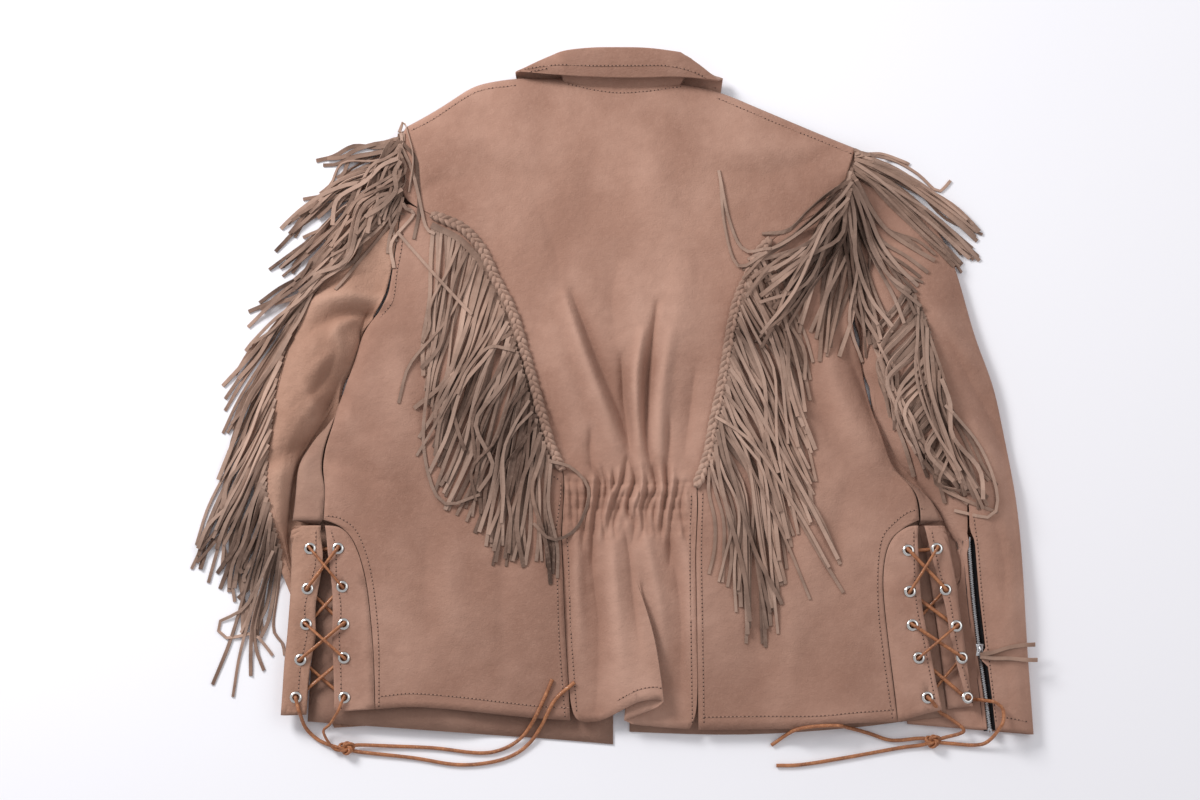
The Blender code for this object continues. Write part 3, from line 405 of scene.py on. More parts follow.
# ---- the lie of the cloth: troughs below and ridges above the plain form
# each crease is (height, half width, route), in mm; a negative height is a trough
creases = {
    "waistFolds": (
        (-10.4, 7.9, ((-40, 104), (-26, 66), (-12, 30), (6, -14), (20, -58))),
        (7.8, 8.8, ((-48, 100), (-36, 62), (-22, 22), (-6, -20), (8, -56))),
        (-11.1, 7, ((12, 34), (14, -6), (18, -36), (21, -72))),
        (7.2, 7, ((34, 60), (28, 20), (27, -26), (31, -74))),
        (-10.4, 4.8, ((50, 92), (43, 44), (39, 8), (38, -34), (40, -62), (46, -92))),
        (6.5, 8.8, ((64, 60), (56, 10), (52, -36), (54, -74))),
        (-5.9, 4.4, ((62, -30), (61, -58), (60, -90))),
        (-4.7, 5.3, ((-20, -44), (-21, -64), (-19, -84))),
        (-3.9, 7, ((-72, -6), (-58, -40), (-40, -82))),
        (-4.2, 7.9, ((90, 24), (84, -24), (78, -70))),
        (3.1, 14.1, ((-62, 60), (-42, 0), (-22, -60))),
        (-3.4, 15.8, ((10, 150), (2, 100), (6, 50))),
        (3.1, 17.6, ((80, 150), (74, 90), (66, 20))),
        (-2.6, 14.1, ((-84, 210), (-60, 160), (-52, 100))),
    ),
    "gathers": (
        (-3.1, 2.4, ((-49, -98), (-48, -120), (-46, -148))),
        (-3.6, 2.4, ((-42, -94), (-41, -118), (-38, -150))),
        (-3.6, 2.6, ((-34, -98), (-33, -122), (-34, -154))),
        (-4.6, 2.8, ((-27, -92), (-24, -108), (-27, -140), (-29, -166))),
        (-7.2, 3.4, ((-20, -80), (-11, -95), (-12, -113), (-16, -131), (-18, -156), (-19, -184))),
        (-6.0, 2.8, ((-8, -84), (-4, -99), (-5, -118), (-8, -136), (-5, -158))),
        (-4.3, 2.6, ((3, -86), (4, -98), (0, -110))),
        (-7.8, 3.4, ((18, -72), (13, -95), (4, -118), (-1, -134), (-2, -150))),
        (-6.0, 2.8, ((15, -108), (9, -124), (4, -142), (6, -156))),
        (-7.8, 3.2, ((21, -74), (26, -95), (20, -114), (19, -130), (26, -142), (23, -162))),
        (-5.5, 2.6, ((29, -98), (31, -112), (26, -127), (29, -143))),
        (-5.5, 2.6, ((38, -96), (38, -110), (33, -126), (35, -146), (30, -160))),
        (-7.8, 3.2, ((45, -82), (48, -104), (42, -117), (38, -131), (40, -150))),
        (-4.8, 2.6, ((53, -104), (48, -120), (46, -136), (48, -156))),
        (-7.8, 3.2, ((58, -76), (60, -101), (57, -120), (54, -138), (54, -158))),
        (-7.2, 3.2, ((71, -98), (66, -122), (63, -140), (62, -184))),
        (-4.3, 2.8, ((78, -102), (74, -122), (76, -142), (80, -160))),
        (3.6, 3.6, ((-1, -92), (-1, -112), (-6, -132), (-11, -160))),
        (3.6, 3.6, ((10, -84), (8, -100), (0, -120), (-4, -146))),
        (4.1, 3.6, ((32, -80), (34, -100), (27, -120), (25, -136))),
        (3.8, 3.8, ((52, -86), (54, -104), (51, -124), (49, -146))),
        (4.1, 4, ((65, -84), (65, -104), (61, -126), (58, -158))),
        (3.1, 3.6, ((-17, -94), (-19, -118), (-22, -146))),
    ),
    "shoulders": (
        (-2.5, 20.9, ((-160, 262), (-110, 236), (-60, 232))),
        (2.2, 19, ((-176, 286), (-126, 268), (-70, 258))),
        (-2.8, 17.1, ((218, 250), (170, 236), (118, 240))),
        (2.5, 17.1, ((230, 268), (180, 262), (130, 270))),
        (-2.2, 22.8, ((-20, 250), (-26, 200), (-20, 150))),
        (2.0, 24.7, ((44, 260), (52, 200), (40, 150))),
        (-2.5, 14.2, ((-206, 210), (-180, 226), (-140, 232))),
    ),
    "sides": (
        (-4.0, 11.4, ((-298, 12), (-270, -14), (-246, -52))),
        (3.2, 13.3, ((-290, -16), (-256, -52), (-236, -96))),
        (-3.2, 12.3, ((-310, -66), (-276, -78), (-240, -96))),
        (2.8, 15.2, ((-230, 60), (-222, 10), (-214, -40))),
        (-3.0, 14.2, ((-204, 40), (-196, -20), (-200, -80))),
        (-2.5, 11.4, ((-190, -150), (-194, -200), (-186, -260))),
        (2.5, 14.2, ((-160, -150), (-166, -210), (-158, -270))),
        (-2.8, 11.4, ((-110, -170), (-114, -230), (-106, -300))),
        (-4.2, 10.4, ((206, 44), (214, 0), (232, -50), (262, -92))),
        (-8.1, 10.4, ((244, 56), (258, 26), (270, -6), (280, -40))),
        (3.5, 12.3, ((230, 48), (238, 4), (256, -40), (286, -78))),
        (-3.2, 12.3, ((250, -96), (240, -140), (236, -190))),
        (2.8, 14.2, ((216, -110), (208, -160), (208, -220))),
        (-3.0, 11.4, ((150, -170), (156, -230), (150, -290))),
        (2.5, 13.3, ((186, -210), (190, -260), (184, -310))),
    ),
    "skirt": (
        (-5.2, 7, ((-19, -154), (-17, -200), (-11, -255), (-15, -342))),
        (4.2, 7, ((-34, -150), (-34, -210), (-30, -280))),
        (4.7, 8.8, ((2, -150), (4, -200), (8, -260), (14, -320))),
        (-5.2, 6.2, ((14, -142), (20, -176), (24, -220), (30, -270))),
        (3.9, 7, ((34, -140), (42, -180), (52, -230), (56, -290))),
        (-4.7, 7, ((52, -136), (66, -180), (74, -240), (72, -320))),
        (2.9, 7, ((74, -140), (82, -200), (84, -280))),
    ),
    "leftSleeve": (
        (6.5, 9, ((-237, 97), (-277, 99), (-305, 96), (-325, 89))),
        (-7.5, 8, ((-240, 84), (-272, 82), (-300, 74), (-322, 60))),
        (6.0, 8, ((-270, 77), (-288, 64), (-292, 38), (-312, 18))),
        (-6.5, 7, ((-292, 52), (-294, 30), (-306, 4), (-322, -12))),
        (-8.0, 8, ((-286, -2), (-296, -14), (-300, -30))),
        (5.5, 8, ((-325, 5), (-312, -17), (-307, -25))),
        (-5.0, 9, ((-315, -53), (-338, -66), (-364, -85))),
        (4.5, 10, ((-310, -70), (-334, -86), (-352, -104))),
        (-4.4, 10, ((-262, 150), (-290, 138), (-316, 118))),
        (4.0, 12, ((-250, 180), (-276, 168), (-306, 152))),
        (-3.4, 9, ((-256, 128), (-284, 118), (-312, 104))),
        (3.4, 12, ((-330, -100), (-348, -130), (-352, -160))),
    ),
    "rightSleeve": (
        (-3.8, 13, ((300, 200), (330, 176), (352, 140))),
        (3.0, 15, ((316, 220), (346, 190), (366, 150))),
        (-4.2, 12, ((352, 60), (372, 24), (392, -12), (404, -20))),
        (3.4, 14, ((340, 90), (364, 50), (388, 18))),
        (3.0, 12, ((376, -30), (396, -60), (412, -100))),
        (-3.4, 11, ((392, -14), (412, -56), (420, -90))),
        (-2.6, 12, ((398, -130), (410, -180), (408, -240))),
        (2.4, 12, ((414, -150), (424, -200), (420, -260))),
        (-2.4, 10, ((400, -270), (412, -310), (410, -350))),
    ),
}
# a crease fades at its ends, widens along its run, and is sharper as a trough than as a ridge
creaseForm = {"end": 0.08, "fade": 0.8, "narrow": 0.75, "widen": 0.5, "trough": 1.25, "ridge": 2}
# the loose, uneven lie: heights of its three waves; each wave's scale, shift, scale and level in the noise
looseLie = {"broad": 0.0026, "middle": 0.0011, "fine": 0.00042, "fold": 0.35, "limp": (-0.225, -0.262, 1.6),
            "waves": ((8, 0, 6, 3.1), (26, 4, 19, 7.7), (70, 0, 58, 1.3))}
creaseLines = [(height * mm, width * mm, roundedLine(np.array(route) * mm, 4))
               for group in creases.values() for height, width, route in group]


def clothLift(xy):
    # how far the upper cloth at each place stands above its plain form
    lift = np.zeros(len(xy))
    form = creaseForm
    for height, width, line in creaseLines:
        gap, share = nearLine(xy, line)
        fade = np.sin(math.pi * (form["end"] + (1 - 2 * form["end"]) * share)) ** form["fade"]
        reach = width * (form["narrow"] + form["widen"] * share)
        lift += height * fade * np.exp(-(gap / reach) ** form["trough" if height < 0 else "ridge"])
    limpFrom, limpTo, limpMore = looseLie["limp"]
    for k, (x, y) in enumerate(xy):
        broad, middle, fine = (noise.noise((x * a + shift, y * b, level))
                               for a, shift, b, level in looseLie["waves"])
        limp = 1 + limpMore * smoothStep(limpFrom, limpTo, x)
        lift[k] += (looseLie["broad"] * broad + looseLie["middle"] * middle * limp
                    + looseLie["fine"] * (looseLie["fold"] - abs(fine)) * limp)
    return lift


# the elastic's stitch rows across the gathers, in mm
elastic = {"rows": (-99, -112, -125, -138, -150), "left": -48, "right": 84, "edge": 4, "top": (-84, -98),
           "foot": (-164, -150), "pinch": 1.3, "rowWidth": 1.7, "wander": 3, "puff": 0.9, "uneven": 2.6}


def shirr(xy):
    # the gathers stand up between rows of stitching that pinch them
    x, y = xy[:, 0] / mm, xy[:, 1] / mm
    left, right, edge = elastic["left"], elastic["right"], elastic["edge"]
    inside = smoothStep(*elastic["top"], y) * smoothStep(*elastic["foot"], y)
    inside = inside * smoothStep(left - edge, left + edge, x) * smoothStep(right + edge, right - edge, x)
    rough = np.array([noise.noise((a * 0.12, b * 0.07, 5.0)) for a, b in zip(x, y)])
    wander = np.array([noise.noise((a * 0.03, 2.0, 9.0)) for a in x])
    pinch = sum(np.exp(-((y - row - elastic["wander"] * wander) / elastic["rowWidth"]) ** 2)
                for row in elastic["rows"])
    return inside * mm * (elastic["puff"] + elastic["uneven"] * rough - elastic["pinch"] * pinch)


# where a sleeve is drawn in beneath the body: middle, reach and shift along X, in mm
drawnIn = {"sleeve_left_top": (((-272, 38), 32, 6.0), ((-232, 122), 42, 1.7)),
           "sleeve_left_under": (((-272, 38), 32, 6.0),),
           "sleeve_right_top": (((278, 32), 30, -6.0),),
           "sleeve_right_under": (((278, 32), 30, -6.0),)}
# the turned edges beside the zip: gaps from the teeth's middle line, then the reaches of the bend, in mm
zipEdges = {"left": 2.3, "right": 4.6, "met": 0.35, "reach": 26, "fold": 1.0, "foldReach": (9, 2),
            "band": 20, "height": 4, "row": 6, "above": (75, 45, 50), "close": (12, -4), "level": (2, 5)}


def stations(node, gap=0.012):
    # the middles of a strip's cross rows, from the collar end down
    points = np.array([v.co for v in nodes[node].data.vertices])
    groups = []
    for spot in points[np.argsort(-points[:, 1])]:
        if groups and groups[-1][0][1] - spot[1] < gap:
            groups[-1].append(spot)
        else:
            groups.append([spot])
    return np.array([(np.array(g).min(0) + np.array(g).max(0)) / 2 for g in groups])


def drawIn(node, place):
    for (x, y), reach, shift in drawnIn.get(node, ()):
        gap = np.linalg.norm(place[:, :2] - np.array((x, y)) * mm, axis=1)
        place[:, 0] += shift * mm * smoothStep(reach * mm, reach * 0.25 * mm, gap)
    if node.startswith("sleeve_right"):
        closeZip(place)


def closeZip(place):
    # brings the cuff panels' turned edges up to the teeth, and together above them
    teeth = stations("zip_teeth")
    top = teeth[0, 1]
    fadeFrom, fadeTo, above = (top + v * mm for v in zipEdges["above"])
    line = np.vstack([teeth[0] + (-0.002, 0.09, 0), teeth, teeth[-1] + (0.002, -0.03, 0)])
    off = place[:, 0] - np.interp(-place[:, 1], -line[:, 1], line[:, 0])
    near = (np.abs(off) < zipEdges["band"] * mm) & (place[:, 1] < above)
    near &= place[:, 2] > zipEdges["height"] * mm
    hand = 1 if off[near].mean() > 0 else -1
    shelf = np.round(place[:, 1] / (zipEdges["row"] * mm)).astype(int)
    rows = sorted(set(shelf[near]))
    edge = np.array([np.abs(off[near & (shelf == row)]).min() for row in rows])
    gap = np.interp(place[:, 1], np.array(rows) * zipEdges["row"] * mm, edge)
    share = smoothStep(*(top + v * mm for v in zipEdges["close"]), place[:, 1])
    wanted = (zipEdges["met"] * (1 - share) + zipEdges["right" if hand > 0 else "left"] * share) * mm
    bend = smoothStep(zipEdges["reach"] * mm, gap + 0.001, np.abs(off)) * (off * hand > 0)
    bend = bend * smoothStep(fadeFrom, fadeTo, place[:, 1]) \
        * smoothStep(*(v * mm for v in zipEdges["level"]), place[:, 2])
    place[:, 0] -= hand * np.maximum(0, gap - wanted) * bend
    foldFrom, foldTo = (gap + v * mm for v in zipEdges["foldReach"])
    place[:, 2] += zipEdges["fold"] * mm * smoothStep(foldFrom, foldTo, np.abs(off)) * bend * share


# the darker side and front looks are painted shade
cloths = {  # each CAD piece's look and levels of smoothing
    "centre_back": ("back", 3),
    "side_back_left": ("side", 3),
    "side_back_right": ("side", 3),
    "front_left": ("front", 2),
    "front_right": ("front", 2),
    "sleeve_left_top": ("sleeve", 3),
    "sleeve_left_under": ("sleeve", 3),
    "sleeve_right_top": ("back", 3),
    "sleeve_right_under": ("back", 3),
    "collar_stand": ("back", 3),
    "collar_fall": ("back", 3),
    "lace_panel_left_front": ("sleeve", 2),
    "lace_panel_left_back": ("back", 2),
    "lace_panel_right_back": ("back", 2),
    "lace_panel_right_front": ("back", 2),
}
clothForm = {"merge": 0.00002, "flat": 50, "skew": 60, "sharp": 1.0, "collarLie": 0.35, "skin": 0.0016,
             "floor": -0.0002, "shadeAndHighlight": 0.011}
# the stand's lower edge is turned in under the neck seam: where it starts and ends, and how far it goes
standTuck = {"along": (0.360, 0.343), "height": (0.007, 0.012), "middle": 0.014, "narrow": 0.09,
             "shift": (-0.006, -0.0034)}
softFrom, softTo = 0.006, 0.013      # heights between which the lie of the cloth fades in


def tuckStand(made):
    for spot in made.data.vertices:
        x, y, z = spot.co
        tuck = float(smoothStep(*standTuck["along"], y) * smoothStep(*standTuck["height"], z))
        spot.co += Vector(((x - standTuck["middle"]) * standTuck["narrow"], *standTuck["shift"])) * tuck


def creaseRims(mesh):
    # keeps the sharp rims sharp when the piece is made finer
    edit = bmesh.new()
    edit.from_mesh(mesh)
    crease = edit.edges.layers.float.new("crease_edge")
    for edge in edit.edges:
        if len(edge.link_faces) == 2 and edge.calc_face_angle(0) > clothForm["sharp"]:
            edge[crease] = 1.0
    edit.to_mesh(mesh)
    edit.free()


def clothFrom(node, look, levels):
    # a CAD piece, merged, smoothed and laid in its creases
    made = intoScene(bpy.data.objects.new(node.replace("_", "-") + "-suede", nodes[node].data.copy()))
    mesh = made.data
    mesh.materials.clear()
    mesh.materials.append(looks[look])
    only(made)
    bpy.ops.object.mode_set(mode="EDIT")
    bpy.ops.mesh.select_all(action="SELECT")
    bpy.ops.mesh.remove_doubles(threshold=clothForm["merge"])
    bpy.ops.mesh.tris_convert_to_quads(face_threshold=math.radians(clothForm["flat"]),
                                       shape_threshold=math.radians(clothForm["skew"]))
    bpy.ops.object.mode_set(mode="OBJECT")
    if node == "centre_back":
        settleWaist(made)
    if node == "collar_stand":
        tuckStand(made)
    creaseRims(mesh)
    finer = made.modifiers.new("finer", "SUBSURF")
    finer.levels = finer.render_levels = levels
    bpy.ops.object.modifier_apply(modifier="finer")
    mesh = made.data
    place = np.empty(len(mesh.vertices) * 3)
    mesh.vertices.foreach_get("co", place)
    place = place.reshape(-1, 3)
    lift = clothLift(place[:, :2])
    if node == "centre_back":
        lift += shirr(place[:, :2])
    lift *= smoothStep(softFrom, softTo, place[:, 2])
    if node.startswith("collar"):
        lift *= clothForm["collarLie"]
    place[:, 2] = np.maximum(place[:, 2] + lift, np.minimum(place[:, 2], clothForm["skin"]))
    drawIn(node, place)
    place[:, 2] = np.maximum(place[:, 2], clothForm["floor"])
    mesh.vertices.foreach_set("co", place.ravel())
    mesh.update()
    mesh.shade_smooth()
    # the lift stored for the material: painted shade in the troughs, painted highlight on the ridges
    fact = mesh.attributes.new("shadeAndHighlight", "FLOAT", "POINT")
    fact.data.foreach_set("value", np.clip(0.5 + lift / clothForm["shadeAndHighlight"], 0, 1))
    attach(made, "root")
    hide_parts(node)
    return made


waist = {"low": (-0.044, -0.165), "high": (0.088, -0.082), "factor": 0.5, "rounds": 6}


def settleWaist(made):
    # evens out the plain solid's zigzag before the real gathers are laid
    (left, foot), (right, top) = waist["low"], waist["high"]
    for spot in made.data.vertices:
        spot.select = foot < spot.co.y < top and left < spot.co.x < right
    bpy.ops.object.mode_set(mode="EDIT")
    bpy.ops.mesh.vertices_smooth(factor=waist["factor"], repeat=waist["rounds"],
                                 xaxis=False, yaxis=False, zaxis=True)
    bpy.ops.object.mode_set(mode="OBJECT")


panels = {node: clothFrom(node, look, levels) for node, (look, levels) in cloths.items()}
print("suede panels laid")


# ---- a map of how high the jacket stands, so that loose strips and laces lie on it and on each other
heightMap = {"low": (-0.475, -0.425), "cell": 0.0015, "size": (640, 560), "above": 0.2}


def surfaceTree(pieces):
    points, faces = [], []
    graph = bpy.context.evaluated_depsgraph_get()
    for piece in pieces:
        shape = piece.evaluated_get(graph).to_mesh()
        start = len(points)
        points += [v.co.copy() for v in shape.vertices]
        faces += [[start + i for i in face.vertices] for face in shape.polygons]
    return BVHTree.FromPolygons(points, faces)


class Pile:
    # the height of the top of the jacket in small cells
    def __init__(self, tree):
        wide, tall = heightMap["size"]
        self.top = np.zeros((wide, tall))
        down = Vector((0, 0, -1))
        for i in range(wide):
            x = heightMap["low"][0] + i * heightMap["cell"]
            for j in range(tall):
                y = heightMap["low"][1] + j * heightMap["cell"]
                hit = tree.ray_cast(Vector((x, y, heightMap["above"])), down)[0]
                if hit:
                    self.top[i, j] = max(0.0, hit.z)

    def cellsAt(self, xy):
        ij = ((xy - np.array(heightMap["low"])) / heightMap["cell"]).round().astype(int)
        return np.clip(ij[:, 0], 0, self.top.shape[0] - 1), np.clip(ij[:, 1], 0, self.top.shape[1] - 1)

    def lanes(self, path, half):
        # the cells along five lines, from one edge of a strip of that half width to the other
        side = headings(path) @ np.array(((0, 1), (-1, 0)))
        return [self.cellsAt(path + side * half * step) for step in (-1, -0.5, 0, 0.5, 1)]

    def under(self, path, half):
        # the highest top below the strip, at each point of its path
        path = np.asarray(path)[:, :2]
        return np.maximum(0, np.max([self.top[lane] for lane in self.lanes(path, half)], axis=0))

    def cover(self, path, half, rise):
        # raises the cells beneath a laid strip to its top
        fine = evenLine(path, step=heightMap["cell"] * 0.8)
        for lane in self.lanes(fine[:, :2], half):
            np.maximum.at(self.top, lane, fine[:, 2] + rise)


def layLine(pile, line, half, thick, ease=3):
    # lays a line on what is beneath it, bridging small hollows, and adds it to the pile
    floor = pile.under(line, half) + thick / 2 + 0.0001
    high = floor.copy()
    for _ in range(ease):
        mean = high.copy()
        mean[1:-1] = (high[:-2] + high[1:-1] + high[2:]) / 3
        high = np.maximum(floor, mean)
    laid = np.column_stack([line, high])
    pile.cover(laid, half * 0.8, thick / 2)
    return laid


pile = Pile(surfaceTree(panels.values()))
bare = pile.top.copy()                       # the cloth alone, for stitches


def clothHeight(xy):
    i, j = pile.cellsAt(np.atleast_2d(xy))
    return bare[i, j]


print("height map made")

# ---- braids over the back seams
braids = {
    "left": ((-190, 189), (-172, 182), (-154, 172), (-136, 151), (-121, 119), (-109, 96), (-99, 71),
             (-91, 42),
             (-83, 15), (-72, -26), (-62, -61), (-50, -86)),
    "right": ((170, 162), (158, 146), (146, 120), (136, 98), (129, 70), (124, 40), (117, 0), (109, -35),
              (102, -72), (90, -104)),
    "strands": 3, "period": 21.0, "step": 1.1, "sway": 3.3, "rise": 1.25, "strand": (5.6, 2.6), "sides": 10,
    "half": 4.5, "middle": 3.0, "taper": 9, "tones": (0.44, 0.06), "cover": (5.2, 2.8), "level": 30,
}


def braid(side):
    # flat plait: each strand weaves from edge to edge, over one and under the next
    line = routeLine(braids[side], 6, step=braids["step"] * mm)
    across = headings(line) @ np.array(((0, 1), (-1, 0)))
    base = levelled(pile.under(line, braids["half"] * mm), braids["level"]) + braids["middle"] * mm
    length = np.arange(len(line)) * braids["step"]
    heap = Heap()
    for strand in range(braids["strands"]):
        turn = 2 * math.pi * (length / braids["period"] + strand / braids["strands"])
        ends = np.minimum(1, np.minimum(length + 2, length[-1] + 2 - length) / braids["taper"])
        sway = braids["sway"] * mm * np.sin(turn) * ends
        rise = braids["rise"] * mm * np.sin(2 * turn)
        path = np.column_stack([line + across * sway[:, None], base + rise])
        points, faces = sweep(path, oval(*braids["strand"], braids["sides"]))
        heap.add(points, faces, braids["tones"][0] + braids["tones"][1] * strand)
    made = heap.make(f"braid-{side}-plait", "braid", "braid_suede")
    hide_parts(f"braid_{side}")
    pile.cover(np.column_stack([line, base]), *(v * mm for v in braids["cover"]))
    return made


braidPieces = {side: braid(side) for side in ("left", "right")}
print("braids plaited")

# ---- fringes: each run of strips hangs from a line and ends along another; all in mm
strip = {"width": (2.7, 4.5), "thick": 1.25, "steps": 16, "rest": 0.42, "twist": 3.6, "header": (6.8, 1.4),
         "headerStep": 4, "headerLift": 1.2, "headerTone": 0.4, "strayWidth": 3.2, "strayTwist": 0.3}
# columns: piece, strips, start line, middle line, end line, spread of the ends, wander, seed
fringeRuns = (
    ("back_left", 60, ((-188, 176), (-160, 160), (-138, 136), (-124, 106), (-110, 76), (-98, 42), (-88, 4),
                       (-76, -36), (-62, -80)),
     ((-194, 98), (-176, 82), (-157, 44), (-142, 10), (-128, -22), (-112, -56), (-94, -90), (-80, -106),
      (-60, -128)),
     ((-202, 22), (-194, 4), (-182, -50), (-176, -116), (-160, -130), (-140, -150), (-114, -186),
      (-90, -182), (-52, -196)), 8, 9, 11),
    ("back_left", 20, ((-160, 158), (-130, 120), (-104, 60), (-80, -30), (-68, -60)),
     ((-186, 90), (-150, 30), (-146, -30), (-104, -70), (-74, -110)),
     ((-200, 40), (-196, -70), (-132, -90), (-140, -130), (-62, -190)), 18, 20, 12),
    ("back_right", 60, ((164, 150), (150, 124), (140, 100), (134, 66), (128, 36), (121, -2), (113, -40),
                        (104, -84)),
     ((188, 90), (178, 52), (170, 12), (164, -24), (158, -64), (148, -100), (132, -132), (112, -140)),
     ((212, 30), (204, -40), (214, -120), (184, -180), (170, -246), (146, -262), (126, -214),
      (102, -208)), 8, 9, 21),
    ("back_right", 16, ((160, 140), (140, 96), (126, 20), (110, -60)),
     ((186, 70), (170, 10), (150, -60), (130, -120)),
     ((196, -30), (180, -120), (228, -190), (160, -250)), 18, 12, 22),
    ("sleeve_left", 46, ((-244, 178), (-272, 152), (-300, 122), (-322, 92), (-338, 58), (-350, 20),
                         (-356, -20),
                         (-362, -60)),
     ((-290, 150), (-326, 112), (-352, 68), (-372, 16), (-384, -28), (-390, -70), (-394, -110),
      (-384, -150)),
     ((-346, 116), (-384, 66), (-406, -26), (-402, -76), (-434, -176), (-420, -190), (-398, -196),
      (-384, -238)),
     10, 9, 31),
    ("sleeve_left", 30, ((-352, -10), (-358, -60), (-360, -104), (-352, -140), (-344, -168)),
     ((-380, -70), (-390, -130), (-384, -170), (-372, -210), (-358, -230)),
     ((-404, -130), (-424, -188), (-386, -200), (-380, -240), (-368, -262)), 14, 9, 32),
    ("sleeve_left", 5, ((-356, -120), (-350, -160), (-344, -180)),
     ((-378, -200), (-368, -246), (-352, -250)),
     ((-412, -300), (-388, -322), (-340, -270)), 8, 8, 33),
    ("sleeve_right", 46, ((316, 112), (330, 84), (340, 50), (346, 14), (352, -24), (358, -62)),
     ((278, 60), (284, 30), (300, -6), (314, -40), (330, -70), (350, -96)),
     ((296, 8), (300, -26), (332, -76), (352, -100), (376, -112), (402, -118)), 9, 7, 41),
    ("sleeve_right", 14, ((322, 100), (340, 40), (352, -20)),
     ((330, 20), (346, -40), (374, -70)),
     ((362, -90), (380, -120), (400, -104)), 12, 14, 42),
    ("shoulder_left", 34, ((-226, 274), (-227, 256), (-226, 236), (-224, 214), (-222, 194)),
     ((-270, 262), (-286, 240), (-284, 214), (-276, 192), (-262, 176)),
     ((-300, 250), (-344, 168), (-346, 146), (-344, 118), (-330, 100)), 14, 12, 51),
    ("shoulder_left", 20, ((-224, 286), (-226, 262), (-225, 230), (-222, 200)),
     ((-232, 262), (-256, 220), (-262, 190), (-240, 170)),
     ((-250, 170), (-300, 160), (-318, 126), (-290, 108)), 16, 22, 52),
    ("shoulder_left", 10, ((-224, 270), (-222, 230), (-220, 200)),
     ((-212, 230), (-238, 196), (-214, 190)),
     ((-214, 162), (-276, 190), (-230, 134)), 12, 20, 53),
    ("shoulder_right", 26, ((262, 262), (262, 250), (258, 236)),
     ((318, 236), (314, 222), (300, 206)),
     ((384, 186), (392, 170), (384, 142), (372, 134)), 9, 9, 61),
    ("shoulder_right", 36, ((258, 240), (254, 226), (252, 208), (251, 190)),
     ((248, 190), (230, 170), (214, 150), (262, 150)),
     ((228, 44), (180, 100), (150, 128), (244, 36)), 16, 14, 62),
    ("shoulder_right", 24, ((258, 232), (254, 212), (251, 196)),
     ((286, 168), (276, 150), (262, 130)),
     ((326, 148), (320, 96), (262, 40)), 14, 16, 63),
    ("shoulder_right", 16, ((256, 220), (252, 200)),
     ((222, 180), (236, 166)),
     ((146, 134), (170, 60)), 20, 18, 64),
)
# single strips that stray, drawn point by point
strays = (
    ("back_left", ((-226, 170), (-200, 140), (-176, 112), (-146, 80))),
    ("back_left", ((-62, -78), (-40, -84), (-22, -108), (-34, -146), (-60, -160), (-80, -142))),
    ("back_left", ((-100, 40), (-128, 44), (-150, 20), (-160, -6))),
    ("back_left", ((-190, 24), (-196, -60), (-176, -120), (-136, -112))),
    ("back_right", ((110, -30), (150, -60), (196, -130), (228, -188))),
    ("back_right", ((166, 146), (136, 132), (122, 176), (118, 226))),
    ("back_right", ((170, 150), (142, 150), (126, 186), (116, 238))),
    ("shoulder_right", ((262, 254), (300, 256), (330, 240), (352, 220), (366, 232))),
    ("shoulder_right", ((262, 256), (290, 262), (322, 250))),
    ("shoulder_left", ((-224, 266), (-212, 240), (-204, 210), (-196, 176), (-186, 168))),
    ("shoulder_left", ((-226, 282), (-222, 296), (-216, 278), (-210, 250), (-214, 214))),
    ("sleeve_left", ((-352, -170), (-380, -226), (-410, -244), (-400, -260), (-372, -256), (-352, -278))),
    ("sleeve_right", ((350, -20), (386, -60), (404, -110), (396, -136), (360, -128))),
)
fringeHeaps = {name: Heap() for name in ("back_left", "back_right", "sleeve_left", "sleeve_right",
                                         "shoulder_left", "shoulder_right")}


def layStrip(name, route, wide, tone, twist):
    # one flat cut strip, square at its end, on the pile
    line = routeLine(route, 5, count=strip["steps"])
    laid = layLine(pile, line, wide * strip["rest"] * mm, strip["thick"] * mm)
    turns = twist * np.sin(np.linspace(0, strip["twist"], len(laid)))
    points, faces = sweep(laid, flatSection(wide, strip["thick"]), turns)
    fringeHeaps[name].add(points, faces, tone)


for name, count, starts, middles, ends, spread, wander, seed in fringeRuns:
    draw = random.Random(seed)
    first, middle, last = (evenLine(roundedLine(line, 4), count=count) for line in (starts, middles, ends))
    order = list(range(count))
    draw.shuffle(order)
    clump = [draw.gauss(0, 1) for _ in range(count // 4 + 2)]
    for place, k in enumerate(order):
        lean = clump[k // 4] * 0.6 + draw.gauss(0, 0.55)
        reach = draw.gauss(0, 1)
        a, m, b = Vector(first[k]), Vector(middle[k]), Vector(last[k])
        fall = (b - a).normalized()
        beside = Vector((-fall.y, fall.x))
        b = b + beside * lean * spread * 0.6 + fall * reach * spread * 0.8
        m = m + beside * (lean * wander * 0.5 + draw.gauss(0, wander * 0.35))
        quarter = a.lerp(m, 0.45) + beside * draw.gauss(0, wander * 0.22)
        late = m.lerp(b, 0.55) + beside * draw.gauss(0, wander * 0.4)
        # the tone rises with the laying order: painted shade on the strips laid first and lowest, painted
        # light on the last and highest, with a random share
        layStrip(name, (a, quarter, m, late, b), draw.uniform(*strip["width"]),
                 0.06 + 0.66 * place / count + draw.uniform(0, 0.24), draw.gauss(0, 0.5))
# the strays, laid last, are a little lighter: painted light
for number, (name, route) in enumerate(strays):
    layStrip(name, route, strip["strayWidth"], 0.6 + 0.02 * number, strip["strayTwist"])

